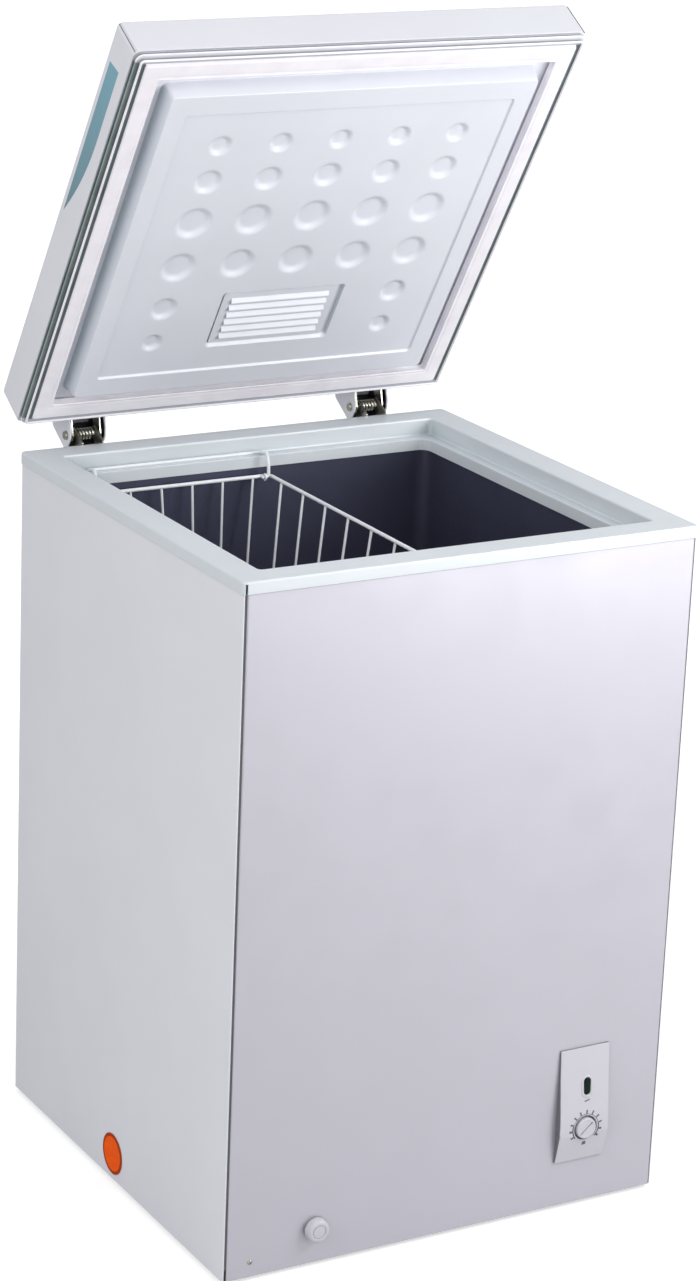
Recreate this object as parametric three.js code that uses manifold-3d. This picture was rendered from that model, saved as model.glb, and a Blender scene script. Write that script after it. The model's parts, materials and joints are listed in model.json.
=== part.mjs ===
// Chest freezer, about 100 litres: cabinet, foam-filled lid on two hinges, hanging wire basket,
// sealed refrigeration circuit in a compartment at the lower right, and its controls.
// Millimetres. +X is the right-hand side seen from the front, +Y the back, +Z up.
// The origin is on the floor, under the centre of the cabinet.
import * as THREE from "three";
import { mergeVertices } from "three/addons/utils/BufferGeometryUtils.js";
import Module from "manifold-3d";

const wasm = await Module();
wasm.setup();

// ---------------------------------------------------------------- driving dimensions
const FOOT_H = 5; // the glides lift the cabinet this far off the floor
const RIM_Z = 797; // top face of the collar
const CAB_W = 556; // over the side panels
const CAB_D = 541.5; // over the front and back panels
const SHEET = 0.8; // steel sheet
const GAP = 0.35; // clearance between pieces that touch

const RIM_W = 560; // collar, over its skirt
const RIM_D = 545.5;
const RIM_SKIRT = 14;
const RIM_WALL = 1.7;
const COLLAR_T = 2.2; // its flange, inner walls and ledge
const MOUTH_W = 486; // opening inside the flange
const MOUTH_D = 474;
const LEDGE = 14; // width of the step that the basket hangs on
const LEDGE_DROP = 20; // from the flange down to the step
const LOWER_WALL = 14; // from the step down to the liner

const TANK_W = MOUTH_W - 2 * LEDGE + 5; // inside of the liner
const TANK_D = MOUTH_D - 2 * LEDGE + 5;
const LINER = 1.5;
const TANK_FLOOR_Z = 60;
const TANK_R = 16; // vertical corners of the liner
const HUMP_X = 28; // the liner steps up here, over the compressor compartment
const HUMP_Z = 292;
const COIL_GAP = 10; // between liner and foam, where the evaporator lies
const SKIN_GAP = 8; // between foam and side panel, where the condenser lies
const BAY_X = 76; // the compressor compartment runs from here to the right-hand panel
const BAY_Z = 246;
const BAY_FRONT = 225; // and from this far in front of the centre to the back panel

const LID_W = 556;
const LID_D = 543.5;
const LID_T = 47.7;
const LID_R = 6;
const LID_OPEN = 58.5; // degrees: the pose at rest
const SEAL_H = 11; // gasket, from the lid's underside to its sealing face
const SEAL_INSET = 5;
const SEAL_W = 28;
const PLATEAU_W = 444;
const PLATEAU_D = 440;
const PLATEAU_H = 19;
const PLATEAU_DRAFT = 4;
const FIELD_W = 406; // recessed field in the plateau
const FIELD_D = 386;
const FIELD_DEEP = 2.5;
const PLATE_T = 1.6; // thickness of the moulded lid liner

const AXIS_Y = 297.3; // lid hinge axis
const AXIS_Z = 803.1;
const HINGE_X = 188;
const ARM_W = 46;
const ARM_T = 1.6;
const EAR_X = 13; // hinge base ears, each side of the hinge's centre
const PIN_R = 3;

const WIRE = 2.2; // radius of the basket's rim wire
const GRID_WIRE = 1.5; // radius of its grid wires
const BASKET = { x0: -219, x1: 12, y: 213, z: 755, depth: 190, taper: 24 };
const BAIL_R = 2; // radius of the bails' wire
const BAIL_Y = BASKET.y - 5.2; // their pivots, just inside the rim

// Round dimples in the lid's field, row by row from the front: place, radius, columns.
const DIMPLE_PITCH = 74;
const DIMPLES = [
  { y: -147.8, r: 12, columns: [-2, -1, 0, 1, 2] },
  { y: -96.3, r: 15, columns: [-2, -1, 0, 1, 2] },
  { y: -36.3, r: 20, columns: [-2, -1, 0, 1, 2] },
  { y: 29.8, r: 19, columns: [-2, -1, 0, 1, 2] },
  { y: 92.8, r: 14.5, columns: [-2, 2] },
  { y: 145.3, r: 11, columns: [-2, 2] },
];
const LOUVRE = { x: 0, y: 117.8, w: 152, d: 82 }; // slatted recess near the hinges

const COMP = { x: 176, y: 130, r: 58, h: 150 }; // compressor
const VENT = { y0: 40, y1: 210, z0: 60, pitch: 18, slot: 8, slots: 7 }; // right-hand side
const HATCH = { x0: 92, x1: 262, z0: 24, z1: 232 }; // opening in the back panel
const GLAND = { x: 112, z: 44 };

const PANEL_X = 174.5; // control panel
const PANEL_Z = 129;
const PANEL_W = 64;
const PANEL_H = 138;
const PANEL_PROUD = 10;
const KNOB = { x: 176.5, z: 101, r: 12.5 };
const LENS = { x: 177.5, z: 151, w: 8, h: 20 };
const DRAIN = { x: -166.5, z: 47, r: 9 };
const PLUG_Y = -196;
const LABEL = { y: 2.5, z: 36, r: 24.5 };

const BASE_T = 1.2; // base plate's sheet
const PAD = { w: 430, d: 400, deep: 1.5 }; // stiffening pad pressed down in its middle
const TRAY_Z = FOOT_H + BASE_T + GAP; // compressor tray
const TRAY_T = 1.5;
const COMP_Z = FOOT_H + 20; // underside of the compressor

const FRONT_Y = -CAB_D / 2;
const BACK_Y = CAB_D / 2;
const LID_Z = RIM_Z + SEAL_H + GAP; // underside of the closed lid's skirt
const LEDGE_Z = RIM_Z - LEDGE_DROP;
const TAU = 2 * Math.PI;

// ---------------------------------------------------------------- materials
function material(color, roughness, metalness = 0) {
  return new THREE.MeshStandardMaterial({ color, roughness, metalness });
}
const paint = material(0xe6e6ec, 0.35);
const frontPaint = material(0xdcdce6, 0.3);
const plastic = material(0xf0f1f3, 0.45);
const darkLiner = material(0x26252e, 0.35, 0.3);
const foamYellow = material(0xe8d9a0, 0.9);
const sealWhite = material(0xe9e9ea, 0.6);
const zinc = material(0xb9b9b4, 0.35, 0.9);
const blackPaint = material(0x141416, 0.4);
const copper = material(0xb36b3f, 0.35, 0.95);
const aluminium = material(0xc4c6c8, 0.4, 0.9);
const rubber = material(0x202022, 0.85);
const coatedWire = material(0xf4f5f6, 0.35);
const greenLens = material(0x0c3a22, 0.2);
const orange = material(0xe56a1e, 0.5);

// ---------------------------------------------------------------- shapes and solids
const group = new THREE.Group();
const lid = new THREE.Group();

function solid(geometry) {
  const bare = geometry.index ? geometry.toNonIndexed() : geometry.clone();
  bare.deleteAttribute("normal");
  bare.deleteAttribute("uv");
  const merged = mergeVertices(bare, 1e-4);
  const body = new wasm.Manifold(
    new wasm.Mesh({
      numProp: 3,
      vertProperties: merged.attributes.position.array,
      triVerts: new Uint32Array(merged.index.array),
    }),
  );
  if (body.volume() <= 0) throw new Error("a shape's faces point inwards");
  return body;
}

function geometryOf(body) {
  const mesh = body.getMesh();
  const points = new Float32Array(mesh.numVert * 3);
  for (let i = 0; i < mesh.numVert; i++) {
    const start = i * mesh.numProp;
    points.set(mesh.vertProperties.subarray(start, start + 3), i * 3);
  }
  const geometry = new THREE.BufferGeometry();
  geometry.setAttribute("position", new THREE.BufferAttribute(points, 3));
  geometry.setIndex(new THREE.BufferAttribute(mesh.triVerts, 1));
  return geometry;
}

function node(name, body, mat, parent = group) {
  const geometry = body.isBufferGeometry ? body : geometryOf(body);
  const mesh = new THREE.Mesh(geometry, mat);
  mesh.name = name;
  parent.add(mesh);
  return mesh;
}

function join(bodies) {
  return bodies.reduce((all, one) => all.add(one));
}

// A box from its lowest to its highest corner.
function box(x0, y0, z0, x1, y1, z1) {
  const g = new THREE.BoxGeometry(x1 - x0, y1 - y0, z1 - z0);
  return solid(g.translate((x0 + x1) / 2, (y0 + y1) / 2, (z0 + z1) / 2));
}

// A path in the shape's own plane, from a list of [x, y] points.
function outline(points) {
  const shape = new THREE.Shape();
  points.forEach(([x, y], i) => (i ? shape.lineTo(x, y) : shape.moveTo(x, y)));
  shape.closePath();
  return shape;
}

function roundRect(x0, y0, x1, y1, r, PathType = THREE.Shape) {
  const path = new PathType();
  path.moveTo(x0 + r, y0);
  path.lineTo(x1 - r, y0);
  path.absarc(x1 - r, y0 + r, r, -TAU / 4, 0);
  path.lineTo(x1, y1 - r);
  path.absarc(x1 - r, y1 - r, r, 0, TAU / 4);
  path.lineTo(x0 + r, y1);
  path.absarc(x0 + r, y1 - r, r, TAU / 4, TAU / 2);
  path.lineTo(x0, y0 + r);
  path.absarc(x0 + r, y0 + r, r, TAU / 2, (3 * TAU) / 4);
  return path;
}

function extrude(shape, z0, z1, curveSegments = 2) {
  const g = new THREE.ExtrudeGeometry(shape, {
    depth: z1 - z0,
    bevelEnabled: false,
    curveSegments,
  });
  return solid(g.translate(0, 0, z0));
}

// A centred block with rounded vertical corners.
function block(w, d, r, z0, z1) {
  return extrude(roundRect(-w / 2, -d / 2, w / 2, d / 2, r), z0, z1);
}

// A centred frame: a block with a block-shaped hole through it.
function frame(outer, inner, z0, z1) {
  const [w, d, r] = outer;
  const [iw, id, ir] = inner;
  const shape = roundRect(-w / 2, -d / 2, w / 2, d / 2, r);
  shape.holes.push(roundRect(-iw / 2, -id / 2, iw / 2, id / 2, ir, THREE.Path));
  return extrude(shape, z0, z1);
}

// A prism whose outline is drawn in the Y-Z plane and which runs along X.
function prismX(points, x0, x1) {
  const g = new THREE.ExtrudeGeometry(outline(points), {
    depth: x1 - x0,
    bevelEnabled: false,
    curveSegments: 6,
  });
  g.rotateY(TAU / 4);
  g.rotateX(TAU / 4);
  return solid(g.translate(x0, 0, 0));
}

// A round bar between two points.
function rod(a, b, r, sides = 6) {
  const from = new THREE.Vector3(...a);
  const to = new THREE.Vector3(...b);
  const along = to.clone().sub(from);
  const g = new THREE.CylinderGeometry(r, r, along.length(), sides);
  const turn = new THREE.Quaternion();
  turn.setFromUnitVectors(new THREE.Vector3(0, 1, 0), along.clone().normalize());
  g.applyQuaternion(turn);
  const middle = from.add(to).multiplyScalar(0.5);
  return solid(g.translate(middle.x, middle.y, middle.z));
}

// A body of revolution about an axis through a point; profile is [radius, height] pairs.
function lathe(profile, at, axis = "z", segments = 20) {
  const points = profile.map(([r, h]) => new THREE.Vector2(r, h));
  const g = new THREE.LatheGeometry(points, segments);
  g.rotateX(TAU / 4);
  if (axis === "y") g.rotateX(TAU / 4);
  if (axis === "x") g.rotateY(TAU / 4);
  return solid(g.translate(...at));
}

// A path straight from vertex to vertex, for bars and tubes whose bends are cut short.
class Route extends THREE.Curve {
  constructor(vertices) {
    super();
    this.vertices = vertices;
  }

  getPoint(t) {
    const last = this.vertices.length - 1;
    const place = Math.min(Math.max(t, 0), 1) * last;
    const i = Math.min(Math.floor(place), last - 1);
    return this.vertices[i].clone().lerp(this.vertices[i + 1], place - i);
  }

  getUtoTmapping(u) {
    return u;
  }
}

// The points of a path with each inner corner rounded off in a few short steps.
function rounded(points, radius, cuts = 3) {
  const p = points.map((point) => new THREE.Vector3(...point));
  const list = [p[0]];
  for (let i = 1; i < p.length - 1; i++) {
    const reach = (a) => Math.min(radius, a.distanceTo(p[i]) * 0.45);
    const before = p[i].clone().lerp(p[i - 1], reach(p[i - 1]) / p[i - 1].distanceTo(p[i]));
    const after = p[i].clone().lerp(p[i + 1], reach(p[i + 1]) / p[i + 1].distanceTo(p[i]));
    const corner = new THREE.QuadraticBezierCurve3(before, p[i], after);
    list.push(...corner.getPoints(cuts - 1));
  }
  list.push(p[p.length - 1]);
  return list;
}

// A round tube or bar through vertices.
function tube(vertices, r, sides = 6) {
  const section = [];
  for (let i = 0; i < sides; i++) {
    const a = (i / sides) * TAU;
    section.push(new THREE.Vector2(r * Math.cos(a), r * Math.sin(a)));
  }
  return solid(
    new THREE.ExtrudeGeometry(new THREE.Shape(section), {
      steps: vertices.length - 1,
      extrudePath: new Route(vertices),
      bevelEnabled: false,
    }),
  );
}

function bentTube(points, r, bendRadius, sides = 6) {
  return tube(rounded(points, bendRadius), r, sides);
}

// ---------------------------------------------------------------- cabinet shell
// Each side panel wraps the front and back corners with a narrow return.
function sidePanel(side) {
  const x = CAB_W / 2;
  const back = BACK_Y - SHEET - GAP;
  const profile = outline([
    [side * x, FRONT_Y],
    [side * x, back],
    [side * (x - SHEET), back],
    [side * (x - SHEET), FRONT_Y + SHEET],
    [side * (x - 4), FRONT_Y + SHEET],
    [side * (x - 4), FRONT_Y],
  ]);
  return extrude(profile, FOOT_H, RIM_Z - 3);
}

function rightSidePanel() {
  const x = CAB_W / 2;
  let panel = sidePanel(1);
  for (let i = 0; i < VENT.slots; i++) {
    const z = VENT.z0 + i * VENT.pitch;
    const slot = box(x - 5, VENT.y0, z, x + 5, VENT.y1, z + VENT.slot);
    panel = panel.subtract(slot);
  }
  return panel;
}

function frontPanel() {
  const x = CAB_W / 2 - 4 - 0.7;
  const sheet = box(-x, FRONT_Y, FOOT_H, x, FRONT_Y + SHEET, RIM_Z - 3);
  const drain = rod([DRAIN.x, FRONT_Y - 5, DRAIN.z], [DRAIN.x, FRONT_Y + 5, DRAIN.z], 10, 16);
  const control = box(
    PANEL_X - 24, FRONT_Y - 5, PANEL_Z - 56,
    PANEL_X + 24, FRONT_Y + 5, PANEL_Z + 56,
  );
  return sheet.subtract(drain).subtract(control);
}

function backPanel() {
  const x = CAB_W / 2;
  const sheet = box(-x, BACK_Y - SHEET, FOOT_H, x, BACK_Y, RIM_Z - 3);
  return sheet.subtract(
    box(HATCH.x0, BACK_Y - 5, HATCH.z0, HATCH.x1, BACK_Y + 5, HATCH.z1),
  );
}

// Louvred cover over the compressor compartment, with the hole for the supply lead's gland.
function rearCover() {
  const y = BACK_Y + GAP;
  let cover = box(HATCH.x0 - 10, y, HATCH.z0 - 10, HATCH.x1 + 10, y + 1, HATCH.z1 + 10);
  for (let i = 0; i < 9; i++) {
    const z = 70 + i * 17;
    cover = cover.subtract(box(HATCH.x0 + 16, y - 2, z, HATCH.x1 - 16, y + 3, z + 6));
  }
  return cover.subtract(rod([GLAND.x, y - 4, GLAND.z], [GLAND.x, y + 4, GLAND.z], 7, 12));
}

// Grommet that the supply lead passes through; the lead itself is left out.
function cordGland() {
  const y = BACK_Y + GAP;
  const profile = [
    [3.2, -12], [5, -12], [8, -9], [9.5, -1.4], [6.6, -1.4], [6.6, 3.5], [3.2, 3.5], [3.2, -12],
  ];
  return lathe(profile, [GLAND.x, y, GLAND.z], "y", 14);
}

// Sheet with a turned-up lip, and a stiffening pad pressed down between the glides.
function basePlate() {
  const w = CAB_W - 2 * (SHEET + GAP);
  const d = CAB_D - 2 * (SHEET + GAP);
  const t = BASE_T;
  const plate = box(-w / 2, -d / 2, FOOT_H, w / 2, d / 2, FOOT_H + t);
  const lip = frame([w, d, 0.5], [w - 2 * t, d - 2 * t, 0.4], FOOT_H, FOOT_H + 14);
  const { w: padW, d: padD, deep } = PAD;
  const pad = block(padW, padD, 12, FOOT_H - deep, FOOT_H);
  const pressing = block(padW - 2 * t, padD - 2 * t, 12 - t, FOOT_H - deep + t, FOOT_H + t + 1);
  return join([plate, lip, pad]).subtract(pressing);
}

function compressorTray() {
  const z = TRAY_Z;
  const tray = box(84, 20, z, 268, 240, z + TRAY_T);
  const ribs = [40, 130, 220].map((y) => box(84, y, z, 268, y + 3, z + 6));
  return join([tray, ...ribs]);
}

function foot(x, y) {
  const top = FOOT_H - GAP;
  return lathe([[0, 0], [15, 0], [17, 2], [17, top], [0, top]], [x, y, 0]);
}

// ---------------------------------------------------------------- tank
function stepped(w, d, r, floor, hump, humpX, top) {
  const upper = block(w, d, r, hump, top);
  const lower = extrude(roundRect(-w / 2, -d / 2, humpX, d / 2, r), floor, hump + 1);
  return upper.add(lower);
}

function innerLiner() {
  const top = LEDGE_Z - COLLAR_T - GAP;
  const outside = stepped(
    TANK_W + 2 * LINER, TANK_D + 2 * LINER, TANK_R + LINER,
    TANK_FLOOR_Z - LINER, HUMP_Z - LINER, HUMP_X + LINER, top,
  );
  const inside = stepped(TANK_W, TANK_D, TANK_R, TANK_FLOOR_Z, HUMP_Z, HUMP_X, top + 5);
  const drain = rod(
    [DRAIN.x, PLUG_Y, TANK_FLOOR_Z - 5], [DRAIN.x, PLUG_Y, TANK_FLOOR_Z + 5], 8.4, 14,
  );
  return outside.subtract(inside).subtract(drain);
}

function insulationFoam() {
  const x = CAB_W / 2 - SHEET - SKIN_GAP;
  const y = CAB_D / 2 - SHEET - 2.5;
  const low = FOOT_H + 3;
  const top = LEDGE_Z - COLLAR_T - 2 * GAP;
  const grow = 2 * (LINER + COIL_GAP);
  const cavity = stepped(
    TANK_W + grow, TANK_D + grow, TANK_R + 8,
    TANK_FLOOR_Z - LINER - GAP, HUMP_Z - LINER - GAP, HUMP_X + LINER + COIL_GAP, top + 5,
  );
  const bay = box(BAY_X, -BAY_FRONT, low - 1, x + 1, y + 1, BAY_Z);
  const controls = box(PANEL_X - 34, FRONT_Y - 1, PANEL_Z - 64, PANEL_X + 34, -BAY_FRONT + 1, 205);
  const drainWay = join([
    rod([DRAIN.x, FRONT_Y - 1, DRAIN.z], [DRAIN.x, PLUG_Y, DRAIN.z], 13, 12),
    rod([DRAIN.x, PLUG_Y, 34], [DRAIN.x, PLUG_Y, TANK_FLOOR_Z], 13, 12),
  ]);
  return box(-x, -y, low, x, y, top).subtract(cavity).subtract(bay).subtract(controls)
    .subtract(drainWay);
}

// The white mouth of the tank: flange, skirt over the panels, inner wall, ledge and lower wall.
function collar() {
  const t = COLLAR_T;
  const ledgeW = MOUTH_W - 2 * LEDGE;
  const ledgeD = MOUTH_D - 2 * LEDGE;
  const rim = [RIM_W, RIM_D, 5];
  const mouth = [MOUTH_W, MOUTH_D, 12];
  const aroundMouth = [MOUTH_W + 2 * t, MOUTH_D + 2 * t, 14];
  const throat = [ledgeW, ledgeD, 12];
  const aroundThroat = [ledgeW + 2 * t, ledgeD + 2 * t, 16];
  return join([
    frame(rim, mouth, RIM_Z - t, RIM_Z),
    frame(rim, [RIM_W - 2 * RIM_WALL, RIM_D - 2 * RIM_WALL, 0.6], RIM_Z - RIM_SKIRT, RIM_Z),
    frame(aroundMouth, mouth, LEDGE_Z - t, RIM_Z),
    frame(aroundMouth, throat, LEDGE_Z - t, LEDGE_Z),
    frame(aroundThroat, throat, LEDGE_Z - LOWER_WALL, LEDGE_Z),
  ]);
}

// ---------------------------------------------------------------- refrigeration circuit
// Turns of tube wound round the liner, climbing steadily.
function evaporatorCoil() {
  const w = TANK_W / 2 + LINER + COIL_GAP / 2;
  const d = TANK_D / 2 + LINER + COIL_GAP / 2;
  const turns = 5;
  const rise = 64;
  const corners = [[w, -d], [w, d], [-w, d], [-w, -d]];
  const points = [[w, 0, 372]];
  for (let i = 1; i < turns * 4; i++) {
    const [x, y] = corners[i % 4];
    points.push([x, y, 380 + (i * rise) / 4]);
  }
  points.push([0, -d, 380 + turns * rise]);
  return bentTube(points, 3.2, 22);
}

// Serpentine of tube behind the left side panel, which gives the heat away.
function condenserCoil() {
  const x = -(CAB_W / 2 - SHEET - SKIN_GAP / 2);
  const reach = 215;
  const points = [];
  for (let i = 0; i < 9; i++) {
    const z = 110 + i * 70;
    const side = i % 2 ? 1 : -1;
    points.push([x, side * reach, z], [x, -side * reach, z]);
  }
  return bentTube(points, 2.6, 28);
}

function compressor() {
  const z = COMP_Z;
  const { x, y, r, h } = COMP;
  const shell = [
    [0, 0], [r * 0.7, 0], [r * 0.93, 10], [r, 28], [r, h * 0.5], [r + 3, h * 0.5],
    [r + 3, h * 0.5 + 5], [r, h * 0.5 + 5], [r, h - 34], [r * 0.9, h - 14], [r * 0.6, h - 3], [0, h],
  ];
  const feet = [-1, 1].map((side) => {
    const middle = y + side * 36;
    return box(x - 72, middle - 4, z, x + 72, middle + 4, z + 3);
  });
  return join([lathe(shell, [x, y, z], "z", 28), ...feet]);
}

function grommet(x, y) {
  const z = TRAY_Z + TRAY_T + GAP;
  const h = COMP_Z - GAP - z;
  const profile = [[0, 0], [9, 0], [9, h * 0.3], [6.5, h * 0.5], [9, h * 0.7], [9, h], [0, h]];
  return lathe(profile, [x, y, z], "z", 12);
}

function relayCover() {
  const { x, y, r } = COMP;
  const z = COMP_Z + 52;
  return box(x - 22, y - r - 30, z, x + 22, y - r - 4 - GAP, z + 46);
}

function filterDrier() {
  const profile = [[0, 0], [3, 0], [3, 8], [9, 14], [9, 74], [3, 82], [3, 90], [0, 90]];
  return lathe(profile, [110, 215, 120], "z", 12);
}

// From the compressor up and across to the foot of the condenser.
function dischargePipe() {
  const { x, y, r } = COMP;
  const z = COMP_Z + 76;
  return bentTube(
    [
      [x - r - GAP * 2, y - 20, z], [x - r - 22, y - 20, z], [x - r - 22, y - 20, 226],
      [x - r - 22, y - 100, 226], [x - r - 22, y - 100, 60],
    ],
    3, 14,
  );
}

// From the evaporator down to the compressor.
function suctionPipe() {
  const { x, y, r } = COMP;
  const z = COMP_Z + 64;
  return bentTube(
    [[x + r + GAP * 2, y + 10, z], [x + r + 18, y + 10, z], [x + r + 18, y + 10, 222],
      [x + r + 18, y - 120, 222], [x + 40, y - 120, 222], [x + 40, y - 120, BAY_Z - GAP]],
    4, 16,
  );
}

// ---------------------------------------------------------------- controls and drain
// Wedge-shaped bezel: deepest level with the knob, thin at both ends.
function controlPanel() {
  const z0 = PANEL_Z - PANEL_H / 2;
  const z1 = PANEL_Z + PANEL_H / 2;
  const y = FRONT_Y - GAP;
  const proud = PANEL_PROUD;
  const face = [
    [y, z0], [y, z1], [y - 2.5, z1], [y - 5, PANEL_Z + 32], [y - proud + 1.2, PANEL_Z - 4],
    [y - proud, PANEL_Z - 20], [y - proud, PANEL_Z - 36], [y - 3, z0],
  ];
  let body = prismX(face, PANEL_X - PANEL_W / 2, PANEL_X + PANEL_W / 2);
  const rear = box(
    PANEL_X - 22, FRONT_Y - GAP - 0.2, PANEL_Z - 54, PANEL_X + 22, FRONT_Y + 9, PANEL_Z + 54,
  );
  body = body.add(rear);
  const well = rod([KNOB.x, y - 20, KNOB.z], [KNOB.x, y - proud + 4, KNOB.z], KNOB.r + 2.5, 24);
  const shaft = rod([KNOB.x, y - 20, KNOB.z], [KNOB.x, FRONT_Y + 20, KNOB.z], 4, 12);
  const window = box(
    LENS.x - LENS.w / 2 - GAP, y - 20, LENS.z - LENS.h / 2 - GAP,
    LENS.x + LENS.w / 2 + GAP, y - 3, LENS.z + LENS.h / 2 + GAP,
  );
  return body.subtract(well).subtract(shaft).subtract(window);
}

function indicatorLens() {
  const y = FRONT_Y - GAP - 3 - GAP;
  const shape = roundRect(-LENS.w / 2, -LENS.h / 2, LENS.w / 2, LENS.h / 2, LENS.w / 2 - 0.1);
  const lens = extrude(shape, 0, 3.6);
  return lens.rotate([90, 0, 0]).translate([LENS.x, y, LENS.z]);
}

// The knob: a low disc with a coin slot across it.
function thermostatKnob() {
  const y = FRONT_Y - GAP - PANEL_PROUD + 4 - GAP;
  const { x, z, r } = KNOB;
  const disc = lathe([[0, 0], [r, 0], [r, 5], [r - 1, 6], [0, 6]], [x, y, z], "y", 28);
  const slot = box(-r - 1, -1.3, -1.3, r + 1, 1.3, 1.3);
  return disc.subtract(slot.rotate([0, -40, 0]).translate([x, y - 6.2, z]));
}

function thermostatShaft() {
  const y = FRONT_Y - GAP - PANEL_PROUD + 4;
  return rod([KNOB.x, y, KNOB.z], [KNOB.x, FRONT_Y + 11, KNOB.z], 3.4, 12);
}

function thermostatBody() {
  const y = FRONT_Y + 9 + GAP;
  const { x, z } = KNOB;
  const body = box(x - 20, y, z - 24, x + 20, y + 26, z + 24);
  return body.subtract(rod([x, y - 1, z], [x, y + 4, z], 4.2, 12));
}

function drainOutlet() {
  const y = FRONT_Y - GAP;
  const profile = [
    [DRAIN.r - 2, -40], [DRAIN.r, -40], [DRAIN.r, 0], [11.4, 0], [11.4, 2], [DRAIN.r, 2],
    [DRAIN.r, 7], [DRAIN.r - 2, 7], [DRAIN.r - 2, -40],
  ];
  return lathe(profile, [DRAIN.x, y, DRAIN.z], "y", 24);
}

function drainCap() {
  const y = FRONT_Y - GAP - 2 - GAP;
  const r = DRAIN.r + GAP;
  const profile = [
    [r, 0], [13.2, 0], [13.6, 1.5], [13.2, 8], [11, 10], [0, 10], [0, 5.6], [r, 5.6], [r, 0],
  ];
  return lathe(profile, [DRAIN.x, y, DRAIN.z], "y", 28);
}

// Elbow from the tank's floor to the outlet.
function drainTube() {
  const start = FRONT_Y + 40 - GAP + 0.6;
  return bentTube(
    [
      [DRAIN.x, start, DRAIN.z], [DRAIN.x, PLUG_Y, DRAIN.z],
      [DRAIN.x, PLUG_Y, TANK_FLOOR_Z - 2.5],
    ],
    8.5, 6, 12,
  );
}

function drainPlug() {
  const profile = [
    [0, -1.5], [7.6, -1.5], [8, GAP], [11.5, GAP], [11.5, 2.4], [4, 3.4], [4, 9], [5.5, 11],
    [5.5, 13], [0, 13.5],
  ];
  return lathe(profile, [DRAIN.x, PLUG_Y, TANK_FLOOR_Z], "z", 18);
}

function roundLabel() {
  const x = -CAB_W / 2 - GAP;
  const disc = [[0, 0], [LABEL.r, 0], [LABEL.r, 0.5], [0, 0.5]];
  return lathe(disc, [x - 0.5, LABEL.y, LABEL.z], "x", 32);
}

function sideVentGrille() {
  const x = CAB_W / 2 + GAP;
  const top = VENT.z0 + VENT.slots * VENT.pitch;
  let plate = box(x, VENT.y0 - 10, VENT.z0 - 10, x + 1.2, VENT.y1 + 10, top);
  for (let i = 0; i < VENT.slots; i++) {
    const z = VENT.z0 + i * VENT.pitch;
    plate = plate.subtract(box(x - 5, VENT.y0 + 4, z, x + 5, VENT.y1 - 4, z + VENT.slot));
  }
  return plate;
}

// ---------------------------------------------------------------- lid, drawn closed
function lidShell() {
  const t = SHEET;
  const top = LID_Z + LID_T;
  const shape = roundRect(-LID_W / 2, -LID_D / 2, LID_W / 2, LID_D / 2, LID_R);
  const bevel = 3;
  const crown = new THREE.ExtrudeGeometry(
    roundRect(-LID_W / 2 + bevel, -LID_D / 2 + bevel, LID_W / 2 - bevel, LID_D / 2 - bevel, LID_R),
    { depth: 0.01, bevelEnabled: true, bevelSize: bevel, bevelThickness: bevel, bevelSegments: 2,
      curveSegments: 4 },
  );
  const cap = solid(crown.translate(0, 0, top - bevel - 0.01));
  const walls = extrude(shape, LID_Z, top - bevel);
  const hollow = block(LID_W - 2 * t, LID_D - 2 * t, LID_R - t, LID_Z - 1, top - bevel);
  const lip = frame(
    [LID_W - 1, LID_D - 1, LID_R - 0.5], [LID_W - 46, LID_D - 46, 3], LID_Z, LID_Z + t,
  );
  const above = box(-LID_W, -LID_D, top - bevel - 0.005, LID_W, LID_D, top + 5);
  return walls.subtract(hollow).add(cap.intersect(above)).add(lip);
}

function lidFoam() {
  const inset = SHEET + GAP;
  const low = LID_Z + SHEET + GAP;
  const slab = block(LID_W - 2 * inset, LID_D - 2 * inset, LID_R, low, LID_Z + LID_T - 3 - GAP);
  const recess = block(LID_W - 30, LID_D - 30, 6, low - 1, low + PLATE_T + GAP);
  return slab.subtract(recess);
}

// Moulded inner sheet: flange, plateau, recessed field with dimples, and a louvred recess.
function plateauBlock(grow, z0, z1) {
  const w = PLATEAU_W / 2 + grow;
  const d = PLATEAU_D / 2 + grow;
  const low = block(2 * w, 2 * d, 8, z0, z0 + 0.01);
  const wide = w + PLATEAU_DRAFT;
  const deep = d + PLATEAU_DRAFT;
  const high = block(2 * wide, 2 * deep, 12, z1 - 0.01, z1);
  return wasm.Manifold.hull([low, high]);
}

function lidLiner() {
  const under = LID_Z + SHEET + GAP;
  const face = LID_Z - PLATEAU_H;
  const flange = block(LID_W - 32, LID_D - 32, 5, under, under + PLATE_T);
  let body = flange.add(plateauBlock(0, face, under + 0.5));
  body = body.subtract(plateauBlock(-PLATE_T - FIELD_DEEP - 1.5, face + FIELD_DEEP + 6, under + 9));
  body = body.subtract(block(FIELD_W, FIELD_D, 12, face - 1, face + FIELD_DEEP));
  for (const row of DIMPLES) {
    for (const column of row.columns) {
      const at = [column * DIMPLE_PITCH, row.y, face + FIELD_DEEP];
      const deep = 2.4;
      const dish = [[0, -1], [row.r, -1], [row.r, 0], [row.r * 0.72, deep], [0, deep]];
      body = body.subtract(lathe(dish, at, "z", 12));
    }
  }
  const { x, y, w, d } = LOUVRE;
  const well = roundRect(x - w / 2, y - d / 2, x + w / 2, y + d / 2, 5);
  return body.subtract(extrude(well, face - 1, face + FIELD_DEEP + 3.5));
}

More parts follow.
